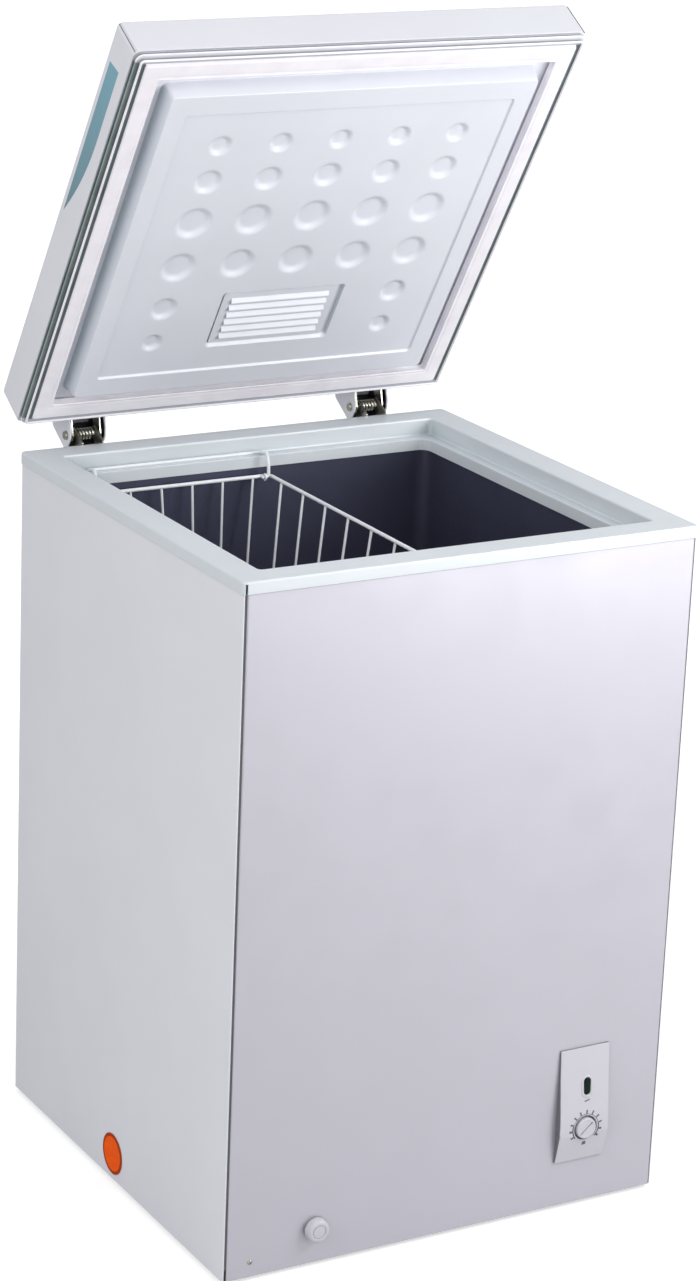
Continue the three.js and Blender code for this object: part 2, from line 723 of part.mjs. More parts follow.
// Slatted cover that fills the louvred recess.
function lidLouvre() {
  const face = LID_Z - PLATEAU_H + FIELD_DEEP;
  const { x, y, w, d } = LOUVRE;
  const edge = 1;
  const base = extrude(
    roundRect(x - w / 2 + edge, y - d / 2 + edge, x + w / 2 - edge, y + d / 2 - edge, 4),
    face + 1.6, face + 3.5 - GAP,
  );
  const slats = [];
  for (let i = 0; i < 8; i++) {
    const y0 = y - 31.5 + i * 8;
    const slope = [
      [y0, face + 1.8], [y0 + 5.5, face + 1.8], [y0 + 0.8, face - 0.6], [y0, face - 0.6],
    ];
    slats.push(prismX(slope, x - w / 2 + 12, x + w / 2 - 12));
  }
  return join([base, ...slats]);
}

function lidGasket() {
  const w = LID_W - 2 * SEAL_INSET;
  const d = LID_D - 2 * SEAL_INSET;
  const ring = (inset, wide, z0, z1) => frame(
    [w - 2 * inset, d - 2 * inset, 5 - inset / 2],
    [w - 2 * inset - 2 * wide, d - 2 * inset - 2 * wide, 3],
    LID_Z - z1, LID_Z - z0,
  );
  return join([
    ring(3, SEAL_W - 6, GAP, SEAL_H),
    ring(1, SEAL_W - 2, GAP, 3),
    ring(0.5, SEAL_W - 1, 5, 7),
    ring(0, SEAL_W, 9, SEAL_H),
  ]);
}

// ---------------------------------------------------------------- hinges
// Cabinet half: plate on the back panel with two ears that hold the pin.
function hingeBase(x) {
  const y = BACK_Y + GAP;
  const plate = box(x - 20, y, 712, x + 20, y + 2, RIM_Z - RIM_SKIRT - 2);
  const clear = RIM_D / 2 + 0.6;
  const top = RIM_Z - RIM_SKIRT - 2;
  const round = [];
  for (let i = 0; i <= 6; i++) {
    const a = TAU / 4 - (i / 6) * (TAU / 2);
    round.push([AXIS_Y + 8 * Math.cos(a), AXIS_Z + 8 * Math.sin(a)]);
  }
  const profile = [[y, top - 34], [y, top], [clear, top], [clear, RIM_Z + 2], ...round];
  const ears = [-1, 1].map((side) => {
    const middle = x + side * EAR_X;
    return prismX(profile, middle - 1, middle + 1);
  });
  const hole = rod([x - 30, AXIS_Y, AXIS_Z], [x + 30, AXIS_Y, AXIS_Z], PIN_R + GAP, 12);
  return join([plate, ...ears]).subtract(hole);
}

function hingePin(x) {
  const half = ARM_W / 2 + 0.6;
  const profile = [
    [0, -half - 2], [5, -half - 2], [5.4, -half], [PIN_R, -half], [PIN_R, half], [5.4, half],
    [5, half + 2], [0, half + 2],
  ];
  return lathe(profile, [x, AXIS_Y, AXIS_Z], "x", 12);
}

// Torsion spring wound on the pin between the ears, one leg lying on the base plate.
function hingeSpring(x) {
  const r = 5.6;
  const turns = 4.5;
  const points = [];
  const count = Math.round(turns * 9);
  for (let i = 0; i <= count; i++) {
    const a = (i / 9) * TAU;
    const along = -9 + (18 * i) / count;
    points.push(
      new THREE.Vector3(x + along, AXIS_Y + r * Math.cos(a), AXIS_Z + r * Math.sin(a)),
    );
  }
  return tube(points, 1.4, 5);
}

// Lid half, drawn closed: a channel with its open side against the lid's rear skirt.
function hingeArm(x) {
  const y = LID_D / 2 + GAP;
  const back = AXIS_Y + 16.7;
  const t = ARM_T;
  const half = ARM_W / 2;
  const low = LID_Z + 4;
  const high = LID_Z + 40;
  const flank = [
    [y, low], [y, high], [back - 14, high], [back, high - 12], [back, AXIS_Z - 5],
    [AXIS_Y + 9, AXIS_Z - 10], [AXIS_Y - 4, AXIS_Z - 10], [AXIS_Y - 14, AXIS_Z - 5],
  ];
  const flanks = [-1, 1].map((side) => {
    const outer = x + side * half;
    const inner = x + side * (half - t);
    return prismX(flank, Math.min(outer, inner), Math.max(outer, inner));
  });
  const web = box(x - half, back - t, AXIS_Z - 5, x + half, back, high - 12);
  const slope = prismX(
    [[back - 14, high], [back, high - 12], [back, high - 14.2], [back - 14, high - 2.2]],
    x - half, x + half,
  );
  const flange = box(x - half, y, low, x + half, y + t, high);
  const hole = rod([x - 30, AXIS_Y, AXIS_Z], [x + 30, AXIS_Y, AXIS_Z], PIN_R + GAP, 12);
  return join([...flanks, web, slope, flange]).subtract(hole);
}

// ---------------------------------------------------------------- basket
// A flat lattice: parallel wires from edge a to edge b, tied by two cross wires.
function lattice(a0, a1, b0, b1, count, ties) {
  const mix = (p, q, t) => p.map((v, i) => v + (q[i] - v) * t);
  const wires = [];
  for (let i = 0; i < count; i++) {
    const t = (i + 0.5) / count;
    wires.push(rod(mix(a0, a1, t), mix(b0, b1, t), GRID_WIRE, 4));
  }
  for (const t of ties) {
    const from = mix(a0, b0, t);
    const to = mix(a1, b1, t);
    const end = 0.5 / count;
    wires.push(rod(mix(from, to, end), mix(from, to, 1 - end), GRID_WIRE * 0.9, 4));
  }
  return join(wires);
}

// The four corners of the basket, drawn in by inset at height z: front left, front right,
// back left, back right.
function basketCorners(inset, z) {
  const { x0, x1, y } = BASKET;
  return [
    [x0 + inset, -y + inset, z], [x1 - inset, -y + inset, z],
    [x0 + inset, y - inset, z], [x1 - inset, y - inset, z],
  ];
}

function basketRim() {
  const { x0, x1, y, z } = BASKET;
  const w = x1 - x0;
  const rim = frame(
    [w + 2 * WIRE, 2 * (y + WIRE), 8.4], [w - 2 * WIRE, 2 * (y - WIRE), 4], z - WIRE, z + WIRE,
  );
  return rim.translate([(x0 + x1) / 2, 0, 0]);
}

// Four sloping sides and a floor; wires is how many upright wires a side has.
function basketGrids() {
  const { z, depth, taper } = BASKET;
  const low = z - depth;
  const t = basketCorners(0, z - WIRE - GRID_WIRE - GAP);
  const b = basketCorners(taper, low);
  const sides = [
    { name: "front", from: 0, to: 1, wires: 6 },
    { name: "back", from: 2, to: 3, wires: 6 },
    { name: "left", from: 0, to: 2, wires: 9 },
    { name: "right", from: 1, to: 3, wires: 9 },
  ];
  const grids = sides.map(({ name, from, to, wires }) => {
    return [name, lattice(t[from], t[to], b[from], b[to], wires, [0.45, 0.96])];
  });
  const f = basketCorners(taper + 2.5, low - 3.4);
  grids.push(["floor", lattice(f[0], f[1], f[2], f[3], 6, [0.05, 0.35, 0.65, 0.95])]);
  return grids;
}

// Wire bail that hooks over the ledge; side is +1 at the back and -1 at the front.
function basketBail(side) {
  const { x0, x1, y, z } = BASKET;
  const hook = LEDGE_Z + BAIL_R + GAP;
  const leg = (x) => [
    [x, side * BAIL_Y, z - 1], [x, side * BAIL_Y, z + 12], [x, side * y, hook + 5],
    [x, side * (y + 20), hook],
  ];
  const inset = WIRE + BAIL_R + 0.6;
  return bentTube([...leg(x0 + inset), ...leg(x1 - inset).reverse()], BAIL_R, 5);
}

// ---------------------------------------------------------------- assembly
node("front_panel", frontPanel(), frontPaint);
node("left_side_panel", sidePanel(-1), paint);
node("right_side_panel", rightSidePanel(), paint);
node("back_panel", backPanel(), paint);
node("rear_cover", rearCover(), paint);
node("cord_gland", cordGland(), rubber);
node("side_vent_grille", sideVentGrille(), plastic);
node("base_plate", basePlate(), blackPaint);
node("compressor_tray", compressorTray(), blackPaint);
for (const [name, x, y] of [
  ["foot_front_left", -240, -232], ["foot_front_right", 240, -232],
  ["foot_back_left", -240, 232], ["foot_back_right", 240, 232],
]) {
  node(name, foot(x, y), rubber);
}
node("inner_liner", innerLiner(), darkLiner);
node("insulation_foam", insulationFoam(), foamYellow);
node("collar", collar(), plastic);
node("evaporator_coil", evaporatorCoil(), aluminium);
node("condenser_coil", condenserCoil(), copper);
node("compressor", compressor(), blackPaint);
[[-60, -36], [60, -36], [-60, 36], [60, 36]].forEach(([dx, dy], i) => {
  node("compressor_grommet_" + (i + 1), grommet(COMP.x + dx, COMP.y + dy), rubber);
});
node("relay_cover", relayCover(), blackPaint);
node("filter_drier", filterDrier(), copper);
node("discharge_pipe", dischargePipe(), copper);
node("suction_pipe", suctionPipe(), copper);
node("control_panel", controlPanel(), plastic);
node("indicator_lens", indicatorLens(), greenLens);
node("thermostat_body", thermostatBody(), plastic);
node("thermostat_knob", thermostatKnob(), plastic);
node("thermostat_shaft", thermostatShaft(), zinc);
node("drain_outlet", drainOutlet(), plastic);
node("drain_tube", drainTube(), plastic);
node("drain_cap", drainCap(), plastic);
node("drain_plug", drainPlug(), plastic);
node("round_label", roundLabel(), orange);
for (const [name, x] of [["left", -HINGE_X], ["right", HINGE_X]]) {
  node("hinge_base_" + name, hingeBase(x), zinc);
  node("hinge_pin_" + name, hingePin(x), zinc);
  node("hinge_spring_" + name, hingeSpring(x), zinc);
  node("hinge_arm_" + name, hingeArm(x), paint, lid);
}
node("lid_shell", lidShell(), paint, lid);
node("lid_foam", lidFoam(), foamYellow, lid);
node("lid_liner", lidLiner(), plastic, lid);
node("lid_louvre", lidLouvre(), plastic, lid);
node("lid_gasket", lidGasket(), sealWhite, lid);
node("basket_rim", basketRim(), coatedWire);
for (const [name, grid] of basketGrids()) {
  node("basket_" + name + "_grid", grid, coatedWire);
}
node("basket_bail_back", basketBail(1), coatedWire);
node("basket_bail_front", basketBail(-1), coatedWire);

// The lid is drawn closed, then turned up about the hinge axis.
for (const mesh of lid.children) {
  mesh.geometry.translate(0, -AXIS_Y, -AXIS_Z);
}
lid.position.set(0, AXIS_Y, AXIS_Z);
lid.rotation.x = -THREE.MathUtils.degToRad(LID_OPEN);
group.add(lid);

export default group;
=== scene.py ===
"""Chest freezer: the visual model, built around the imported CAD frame.

Shapes are drawn in millimetres and scaled to metres when a mesh is made. Pieces of the lid are
drawn with the lid closed and turned up by the lid's own matrix when they are finished.
"""
import json
import math

import bmesh
import bpy
from mathutils import Matrix, Vector


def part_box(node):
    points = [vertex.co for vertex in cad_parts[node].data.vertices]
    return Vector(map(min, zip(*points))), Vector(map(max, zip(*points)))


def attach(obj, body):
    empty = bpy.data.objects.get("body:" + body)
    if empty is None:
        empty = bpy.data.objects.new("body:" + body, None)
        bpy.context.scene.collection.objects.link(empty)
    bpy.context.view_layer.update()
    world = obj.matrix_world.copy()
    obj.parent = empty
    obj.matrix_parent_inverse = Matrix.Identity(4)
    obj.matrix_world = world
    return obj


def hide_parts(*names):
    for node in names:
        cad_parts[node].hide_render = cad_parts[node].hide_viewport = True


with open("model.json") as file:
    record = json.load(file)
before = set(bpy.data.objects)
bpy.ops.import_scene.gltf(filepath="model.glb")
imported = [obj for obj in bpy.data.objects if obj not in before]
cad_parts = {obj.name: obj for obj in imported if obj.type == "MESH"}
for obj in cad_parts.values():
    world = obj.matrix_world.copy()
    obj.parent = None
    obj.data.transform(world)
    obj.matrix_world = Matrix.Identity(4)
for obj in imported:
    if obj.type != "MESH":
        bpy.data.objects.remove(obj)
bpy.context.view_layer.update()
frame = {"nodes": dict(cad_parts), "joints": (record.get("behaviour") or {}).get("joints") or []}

MM = 0.001
TAU = 2 * math.pi
JOINTS = {joint["name"]: joint for joint in frame["joints"]}

# ---- the CAD's own measures
HINGE = JOINTS["lid_hinge"]
PIVOT = Vector(HINGE["pos_m"])
OPEN = math.radians(-HINGE["range_deg"][0])
LID = (
    Matrix.Translation(PIVOT)
    @ Matrix.Rotation(OPEN, 4, Vector(HINGE["axis"]))
    @ Matrix.Translation(-PIVOT)
)


class Box:
    """A CAD node's box in millimetres; closed=True measures a lid node as if the lid were shut."""

    def __init__(self, name, closed=False):
        if closed:
            back = LID.inverted()
            points = [back @ v.co for v in frame["nodes"][name].data.vertices]
            low = [min(p[i] for p in points) for i in range(3)]
            high = [max(p[i] for p in points) for i in range(3)]
        else:
            low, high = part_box(name)
        self.x0, self.y0, self.z0 = (v / MM for v in low)
        self.x1, self.y1, self.z1 = (v / MM for v in high)
        self.x = (self.x0 + self.x1) / 2
        self.y = (self.y0 + self.y1) / 2
        self.z = (self.z0 + self.z1) / 2
        self.w = self.x1 - self.x0
        self.d = self.y1 - self.y0
        self.h = self.z1 - self.z0


FRONT = Box("front_panel")
LEFT = Box("left_side_panel")
RIGHT = Box("right_side_panel")
BACK = Box("back_panel")
COLLAR = Box("collar")
LINER = Box("inner_liner")
GRILLE = Box("side_vent_grille")
HATCH = Box("rear_cover")
GLAND = Box("cord_gland")
COMPRESSOR = Box("compressor")
PANEL = Box("control_panel")
KNOB = Box("thermostat_knob")
LENS = Box("indicator_lens")
CAP = Box("drain_cap")
OUTLET = Box("drain_outlet")
PLUG = Box("drain_plug")
LABEL = Box("round_label")
RIM = Box("basket_rim")
SHELL = Box("lid_shell", closed=True)
MOULD = Box("lid_liner", closed=True)
SEAL = Box("lid_gasket", closed=True)
LOUVRE = Box("lid_louvre", closed=True)
SHEET = 0.8  # steel sheet
GAP = 0.35  # clearance between pieces that touch

# ---- shapes: (vertices, faces) in mm


def combine(shapes):
    """Several shapes as one."""
    vertices, faces = [], []
    for points, polygons in shapes:
        start = len(vertices)
        vertices += points
        faces += [tuple(start + i for i in polygon) for polygon in polygons]
    return vertices, faces


def loft(rings, closed=False):
    """A skin over rings of equally many points; capped at both ends unless it closes on itself."""
    n = len(rings[0])
    m = len(rings)
    points = [p for one in rings for p in one]
    faces = []
    for j in range(m if closed else m - 1):
        a = j * n
        b = (j + 1) % m * n
        for i in range(n):
            k = (i + 1) % n
            faces.append((a + i, a + k, b + k, b + i))
    if not closed:
        faces.append(tuple(range(n)))
        faces.append(tuple(range((m - 1) * n, m * n)))
    return points, faces


def spread(points, level, plane):
    """2-D points laid in a plane: xy at height level, xz at depth level, or yz at x level."""
    if plane == "xy":
        return [(a, b, level) for a, b in points]
    if plane == "xz":
        return [(a, level, b) for a, b in points]
    return [(level, a, b) for a, b in points]


def rounded(w, h, r, centre=(0, 0), steps=6):
    """Points round a rectangle with rounded corners."""
    points = []
    r = max(r, 0.01)
    for corner, (sx, sy) in enumerate(((1, 1), (-1, 1), (-1, -1), (1, -1))):
        for i in range(steps + 1):
            a = (corner + i / steps) * TAU / 4
            points.append((
                centre[0] + sx * (w / 2 - r) + r * math.cos(a),
                centre[1] + sy * (h / 2 - r) + r * math.sin(a),
            ))
    return points


def ring(w, d, r, level, centre=(0, 0), plane="xy", steps=6):
    """A rounded rectangle as one ring of a loft."""
    return spread(rounded(w, d, r, centre, steps), level, plane)


def prism(outline, low, high, plane="xy"):
    """An outline in a plane, extruded from low to high across it."""
    return loft([spread(outline, low, plane), spread(outline, high, plane)])


def plate(w, h, r, low, high, edge, centre, plane):
    """A rounded plate with softly rounded rims on both faces."""
    inner = max(r - edge, 0.2)
    small = (w - 2 * edge, h - 2 * edge, inner)
    middle = (w - 0.6 * edge, h - 0.6 * edge, max(r - 0.3 * edge, 0.2))
    levels = [
        (small, low), (middle, low + 0.3 * edge), ((w, h, r), low + edge),
        ((w, h, r), high - edge), (middle, high - 0.3 * edge), (small, high),
    ]
    return loft([ring(*size, level, centre, plane) for size, level in levels])


def block(x0, y0, z0, x1, y1, z1):
    """A plain box between two corners."""
    return prism([(x0, y0), (x1, y0), (x1, y1), (x0, y1)], z0, z1)


def turned(profile, at, axis="z", segments=48, closed=False):
    """A body of revolution from (radius, height) pairs; height runs along +Z, -Y or +X."""
    rings = []
    for radius, height in profile:
        one = []
        for i in range(segments):
            a = i / segments * TAU
            u, v = radius * math.cos(a), radius * math.sin(a)
            offset = {"z": (u, v, height), "y": (u, -height, v), "x": (height, u, v)}[axis]
            one.append(tuple(p + q for p, q in zip(at, offset)))
        rings.append(one)
    return loft(rings, closed)


def bend(points, radius, steps=5, closed=False):
    """A path with its corners rounded off."""
    path = [Vector(p) for p in points]
    last = len(path) - 1
    result = []
    for i, corner in enumerate(path):
        if not closed and i in (0, last):
            result.append(corner)
            continue
        before = path[i - 1] - corner
        after = path[(i + 1) % len(path)] - corner
        reach = min(radius, before.length * 0.48, after.length * 0.48)
        start = corner + before.normalized() * reach
        end = corner + after.normalized() * reach
        for k in range(steps + 1):
            t = k / steps
            result.append(start.lerp(corner, t).lerp(corner.lerp(end, t), t))
    return result


DOME = [(0.38, 0.92), (0.77, 0.64), (0.98, 0.2)]  # (reach, radius) of a bar's domed end, in radii


def tube(path, radius, sides=12, closed=False):
    """A round bar along a path, with domed ends."""
    points = [Vector(p) for p in path]
    n = len(points)
    rings = []
    normal = None
    for i, point in enumerate(points):
        if closed:
            along = points[(i + 1) % n] - points[i - 1]
        else:
            along = points[min(i + 1, n - 1)] - points[max(i - 1, 0)]
        along.normalize()
        normal = along.orthogonal() if normal is None else normal - along * normal.dot(along)
        normal.normalize()
        across = along.cross(normal)
        sections = [(0, 1)]
        if not closed and i == 0:
            sections = [(-reach, scale) for reach, scale in DOME[::-1]] + sections
        if not closed and i == n - 1:
            sections += DOME
        for shift, scale in sections:
            middle = point + along * (shift * radius)
            one = []
            for k in range(sides):
                a = k / sides * TAU
                spoke = normal * math.cos(a) + across * math.sin(a)
                one.append(tuple(middle + spoke * (radius * scale)))
            rings.append(one)
    return loft(rings, closed)


def strip(path, thickness):
    """The outline of a bent sheet whose outer face follows a 2-D path; the sheet lies on its left."""
    points = [Vector(p) for p in path]
    inner = []
    for i, point in enumerate(points):
        back = point - points[i - 1] if i else points[1] - point
        on = points[i + 1] - point if i < len(points) - 1 else back
        left_back = Vector((-back.y, back.x)).normalized()
        left_on = Vector((-on.y, on.x)).normalized()
        middle = (left_back + left_on).normalized()
        inner.append(point + middle * (thickness / max(middle.dot(left_on), 0.3)))
    return [tuple(p) for p in points + inner[::-1]]


def mirrored(shape):
    """The shape's mirror image across X = 0."""
    points, faces = shape
    return [(-x, y, z) for x, y, z in points], faces


def moved(shape, matrix):
    """The shape placed by a matrix in millimetres."""
    points, faces = shape
    return [tuple(matrix @ Vector(p)) for p in points], faces


# ---- objects


def solid(name, *shapes):
    """An object from shapes, with coincident points merged and faces turned outwards."""
    points, faces = combine(shapes)
    mesh = bpy.data.meshes.new(name)
    mesh.from_pydata([tuple(v * MM for v in p) for p in points], [], faces)
    work = bmesh.new()
    work.from_mesh(mesh)
    bmesh.ops.remove_doubles(work, verts=work.verts, dist=1e-7)
    bmesh.ops.recalc_face_normals(work, faces=work.faces)
    work.to_mesh(mesh)
    work.free()
    obj = bpy.data.objects.new(name, mesh)
    bpy.context.scene.collection.objects.link(obj)
    return obj


def settle(obj):
    """Applies an object's modifiers."""
    evaluated = obj.evaluated_get(bpy.context.evaluated_depsgraph_get())
    mesh = bpy.data.meshes.new_from_object(evaluated)
    obj.modifiers.clear()
    obj.data = mesh


def soften(obj, width, angle=40):
    """Rounds an object's sharp edges; width in millimetres."""
    bevel = obj.modifiers.new("edges", "BEVEL")
    bevel.width = width * MM
    bevel.segments = 2
    bevel.limit_method = "ANGLE"
    bevel.angle_limit = math.radians(angle)


def cut(obj, *shapes, operation="DIFFERENCE"):
    """Takes shapes away from an object, or adds them to it with UNION."""
    cutter = solid(obj.name + "_cutter", *shapes)
    modifier = obj.modifiers.new("cut", "BOOLEAN")
    modifier.object = cutter
    modifier.operation = operation
    modifier.solver = "EXACT"
    bpy.context.view_layer.update()
    settle(obj)
    bpy.data.objects.remove(cutter)


def dress(obj, finish, body="cabinet", stands_for=(), smooth=38):
    """Shading, material, body and CAD nodes of a finished piece."""
    if obj.modifiers:
        bpy.context.view_layer.update()
        settle(obj)
    obj.data.shade_smooth()
    obj.data.set_sharp_from_angle(angle=math.radians(smooth))
    weighted = obj.modifiers.new("normals", "WEIGHTED_NORMAL")
    weighted.keep_sharp = True
    obj.data.materials.clear()
    obj.data.materials.append(FINISH[finish])
    if body == "lid":
        obj.data.transform(LID)
    if stands_for:
        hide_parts(*stands_for)
    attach(obj, body)
    return obj


def piece(name, finish, *shapes, body="cabinet", nodes=()):
    """A finished piece made straight from shapes, standing for CAD nodes."""
    return dress(solid(name, *shapes), finish, body, nodes)


def keep(name, finish, edge=0.4):
    """A CAD node that stays: softened edges and a real finish."""
    obj = frame["nodes"][name]
    weld = obj.modifiers.new("weld", "WELD")
    weld.merge_threshold = 0.01 * MM
    if edge:
        soften(obj, edge)
    obj.data.materials.clear()
    obj.data.materials.append(FINISH[finish])


# ---- materials


FINISH = {}


class Surface:
    """A principled material, kept in FINISH, whose patterns live in object space, in metres."""

    def __init__(self, name, roughness=0.4, metallic=0.0, **sockets):
        self.material = FINISH[name] = bpy.data.materials.new(name)
        self.material.use_nodes = True
        self.tree = self.material.node_tree
        self.shader = self.tree.nodes["Principled BSDF"]
        self.shader.inputs["Roughness"].default_value = roughness
        self.shader.inputs["Metallic"].default_value = metallic
        for key, value in sockets.items():
            self.shader.inputs[key.replace("_", " ")].default_value = value
        self.place = self.add("ShaderNodeTexCoord").outputs["Object"]

    def add(self, kind, sockets=None, **settings):
        """A node whose inputs take values or other nodes' outputs."""
        node = self.tree.nodes.new(kind)
        for key, value in settings.items():
            setattr(node, key, value)
        for key, value in (sockets or {}).items():
            if isinstance(value, bpy.types.NodeSocket):
                self.tree.links.new(value, node.inputs[key])
            else:
                node.inputs[key].default_value = value
        return node

    def lid_closed(self):
        """Measures the patterns with the lid shut, for materials used on the lid alone."""
        back = LID.inverted()
        sockets = {
            "Vector": self.place, "Location": back.to_translation(), "Rotation": back.to_euler(),
        }
        self.place = self.add("ShaderNodeMapping", sockets).outputs[0]

    def stretched(self, scale):
        return self.add("ShaderNodeMapping", {"Vector": self.place, "Scale": scale}).outputs[0]

    def noise(self, scale, detail=2.0, roughness=0.5, vector=None):
        sockets = {
            "Vector": vector or self.place, "Scale": scale, "Detail": detail,
            "Roughness": roughness,
        }
        return self.add("ShaderNodeTexNoise", sockets).outputs["Fac"]

    def cells(self, scale):
        sockets = {"Vector": self.place, "Scale": scale}
        return self.add("ShaderNodeTexVoronoi", sockets).outputs["Distance"]

    def remap(self, value, low, high, to_low=0.0, to_high=1.0):
        sockets = {
            "Value": value, "From Min": low, "From Max": high, "To Min": to_low,
            "To Max": to_high,
        }
        return self.add("ShaderNodeMapRange", sockets).outputs["Result"]

    def patches(self, scale, detail, low, high, to_low=0.0, to_high=1.0):
        """Noise stretched between two levels, so that it gives soft patches."""
        return self.remap(self.noise(scale, detail), low, high, to_low, to_high)

    def mix(self, factor, a, b):
        node = self.add("ShaderNodeMix", data_type="RGBA")
        for index, value in ((0, factor), (6, a), (7, b)):
            if isinstance(value, bpy.types.NodeSocket):
                self.tree.links.new(value, node.inputs[index])
            else:
                node.inputs[index].default_value = value
        return node.outputs[2]

    def math(self, operation, a, b=0.0):
        return self.add("ShaderNodeMath", {0: a, 1: b}, operation=operation).outputs[0]

    def times(self, a, b):
        return self.math("MULTIPLY", a, b)

    def axis(self, name):
        return self.add("ShaderNodeSeparateXYZ", {0: self.place}).outputs[name]

    def edges(self, radius):
        """1 on edges sharper than the radius in metres, 0 on flat faces."""
        soft = self.add("ShaderNodeBevel", {"Radius": radius}, samples=4).outputs[0]
        true = self.add("ShaderNodeNewGeometry").outputs["Normal"]
        dot = self.add("ShaderNodeVectorMath", {0: soft, 1: true}, operation="DOT_PRODUCT")
        return self.remap(dot.outputs["Value"], 0.995, 0.85)

    def corners(self, distance):
        """1 in the open, falling towards 0 in narrow corners."""
        sockets = {"Distance": distance}
        return self.add("ShaderNodeAmbientOcclusion", sockets, samples=4).outputs["AO"]

    def colour(self, value):
        self.tree.links.new(value, self.shader.inputs["Base Color"])

    def rough(self, value):
        self.tree.links.new(value, self.shader.inputs["Roughness"])

    def bump(self, height, strength, distance, under=None):
        """Adds a height pattern; distance is its full height in metres."""
        sockets = {"Height": height, "Strength": strength, "Distance": distance}
        if under:
            sockets["Normal"] = under
        normal = self.add("ShaderNodeBump", sockets).outputs[0]
        self.tree.links.new(normal, self.shader.inputs["Normal"])
        return normal


def rgb(*screen):
    """A colour from 8-bit screen values, as linear RGBA."""
    linear = [v / 255 / 12.92 if v < 11 else ((v / 255 + 0.055) / 1.055) ** 2.4 for v in screen]
    return (*linear, 1.0)


def dim(colour, by):
    """The colour, darker or lighter by a factor."""
    return (*(v * by for v in colour[:3]), 1.0)


def enamel(name, colour, roughness, flake=0.0, metallic=0.0):
    """Stove enamel on steel: orange peel, faint mottling, rubbed edges, painted shade in the corners.
    """
    s = Surface(name, roughness, metallic, Coat_Weight=0.25, Coat_Roughness=0.12)
    mottle = s.patches(9.0, 3.0, 0.35, 0.65)
    tone = s.mix(mottle, dim(colour, 0.975), colour)
    if flake:
        spark = s.patches(2600.0, 1.0, 0.4, 0.6)
        tone = s.mix(spark, dim(colour, 1 - flake), tone)
    worn = s.times(s.edges(0.0009), s.patches(60.0, 4.0, 0.45, 0.7))
    tone = s.mix(s.times(worn, 0.35), tone, dim(colour, 0.62))
    # painted shade: grey darkening in narrow corners
    corner_shade = s.remap(s.corners(0.006), 0.1, 0.8, 0.5, 0.0)
    s.colour(s.mix(corner_shade, tone, rgb(120, 118, 122)))
    s.rough(s.patches(28.0, 4.0, 0.3, 0.7, roughness - 0.05, roughness + 0.07))
    peel = s.bump(s.noise(330.0, 1.5), 0.12, 0.00012)
    s.bump(s.noise(4.0, 1.0), 0.05, 0.0008, peel)


SHADE_TINT = rgb(84, 114, 124)  # painted shade: blue-grey tint laid into the corners and sheltered left-facing wall faces of white plastic


def moulded(
    name, colour, roughness, grain=900.0, height=0.00006, subsurface=0.0, shade_in_corners=(0.006, 0.14),
    left_wall_shade=0.0, gloss=0.5,
):
    """Moulded or vacuum-formed plastic: fine grain, slow thickness waves, painted shade in its
    corners.

    grain and height are the fine pattern's scale and its height in metres; shade_in_corners is how
    far out of a corner the painted shade reaches, and how strong it is; left_wall_shade is how strong
    the painted shade is on sheltered wall faces that face left; gloss is the specular level.
    """
    s = Surface(
        name, roughness, Subsurface_Weight=subsurface, Subsurface_Scale=0.002,
        Specular_IOR_Level=gloss,
    )
    cloud = s.patches(14.0, 3.0, 0.3, 0.7)
    tone = s.mix(cloud, dim(colour, 0.97), colour)
    worn = s.times(s.edges(0.0007), s.patches(90.0, 3.0, 0.4, 0.7))
    tone = s.mix(s.times(worn, 0.25), tone, dim(colour, 0.8))
    # painted shade: blue-grey darkening where narrow corners shut out the light
    reach, strength = shade_in_corners
    corner_shade = s.remap(s.corners(reach), 0.1, 0.75, strength, 0.0)
    tone = s.mix(corner_shade, tone, SHADE_TINT)
    # painted shade: stronger blue-grey on sheltered wall faces that face left
    if left_wall_shade:
        normal = s.add("ShaderNodeNewGeometry").outputs["Normal"]
        sideways = s.add("ShaderNodeSeparateXYZ", {0: normal}).outputs["X"]
        sheltered = s.remap(s.corners(0.03), 0.5, 0.95, left_wall_shade, 0.0)
        tone = s.mix(s.times(sheltered, s.remap(sideways, -0.5, -0.85)), tone, SHADE_TINT)
    s.colour(tone)
    s.rough(s.patches(45.0, 3.0, 0.3, 0.7, roughness - 0.05, roughness + 0.06))
    fine = s.bump(s.noise(grain, 2.0, 0.6), 0.3, height)
    s.bump(s.noise(22.0, 1.0), 0.1, 0.0006, fine)


STREAK = (40.0, 40.0, 900.0)  # noise scales along X, Y and Z: fine lines that lie level


def bare_metal(name, colour, stain, roughness):
    """Plated or drawn metal: fine streaks, patches of dull bloom, brighter rubbed edges."""
    s = Surface(name, roughness, 1.0)
    bloom = s.remap(s.noise(55.0, 5.0, 0.6), 0.42, 0.62)
    tone = s.mix(bloom, colour, stain)
    rubbed = s.times(s.edges(0.0006), 0.6)
    s.colour(s.mix(rubbed, tone, dim(colour, 1.15)))
    lines = s.noise(1.0, 3.0, 0.6, s.stretched(STREAK))
    both = s.math("ADD", s.times(lines, 0.5), s.times(bloom, 0.5))
    s.rough(s.remap(both, 0.2, 0.8, roughness - 0.1, roughness + 0.14))
    s.bump(lines, 0.15, 0.00008)


def dull_black(name, colour, roughness, grain, height, worn_tone):
    """Black paint or rubber: pitted or dusty, greyed on the edges."""
    s = Surface(name, roughness)
    dusty = s.remap(s.noise(35.0, 4.0, 0.6), 0.4, 0.75)
    tone = s.mix(s.times(dusty, 0.35), colour, dim(worn_tone, 0.5))
    worn = s.times(s.edges(0.0009), s.patches(120.0, 3.0, 0.35, 0.65))
    s.colour(s.mix(s.times(worn, 0.7), tone, worn_tone))
    s.rough(s.remap(dusty, 0.0, 1.0, roughness, min(roughness + 0.2, 1.0)))
    s.bump(s.noise(grain, 3.0, 0.6), 0.4, height)


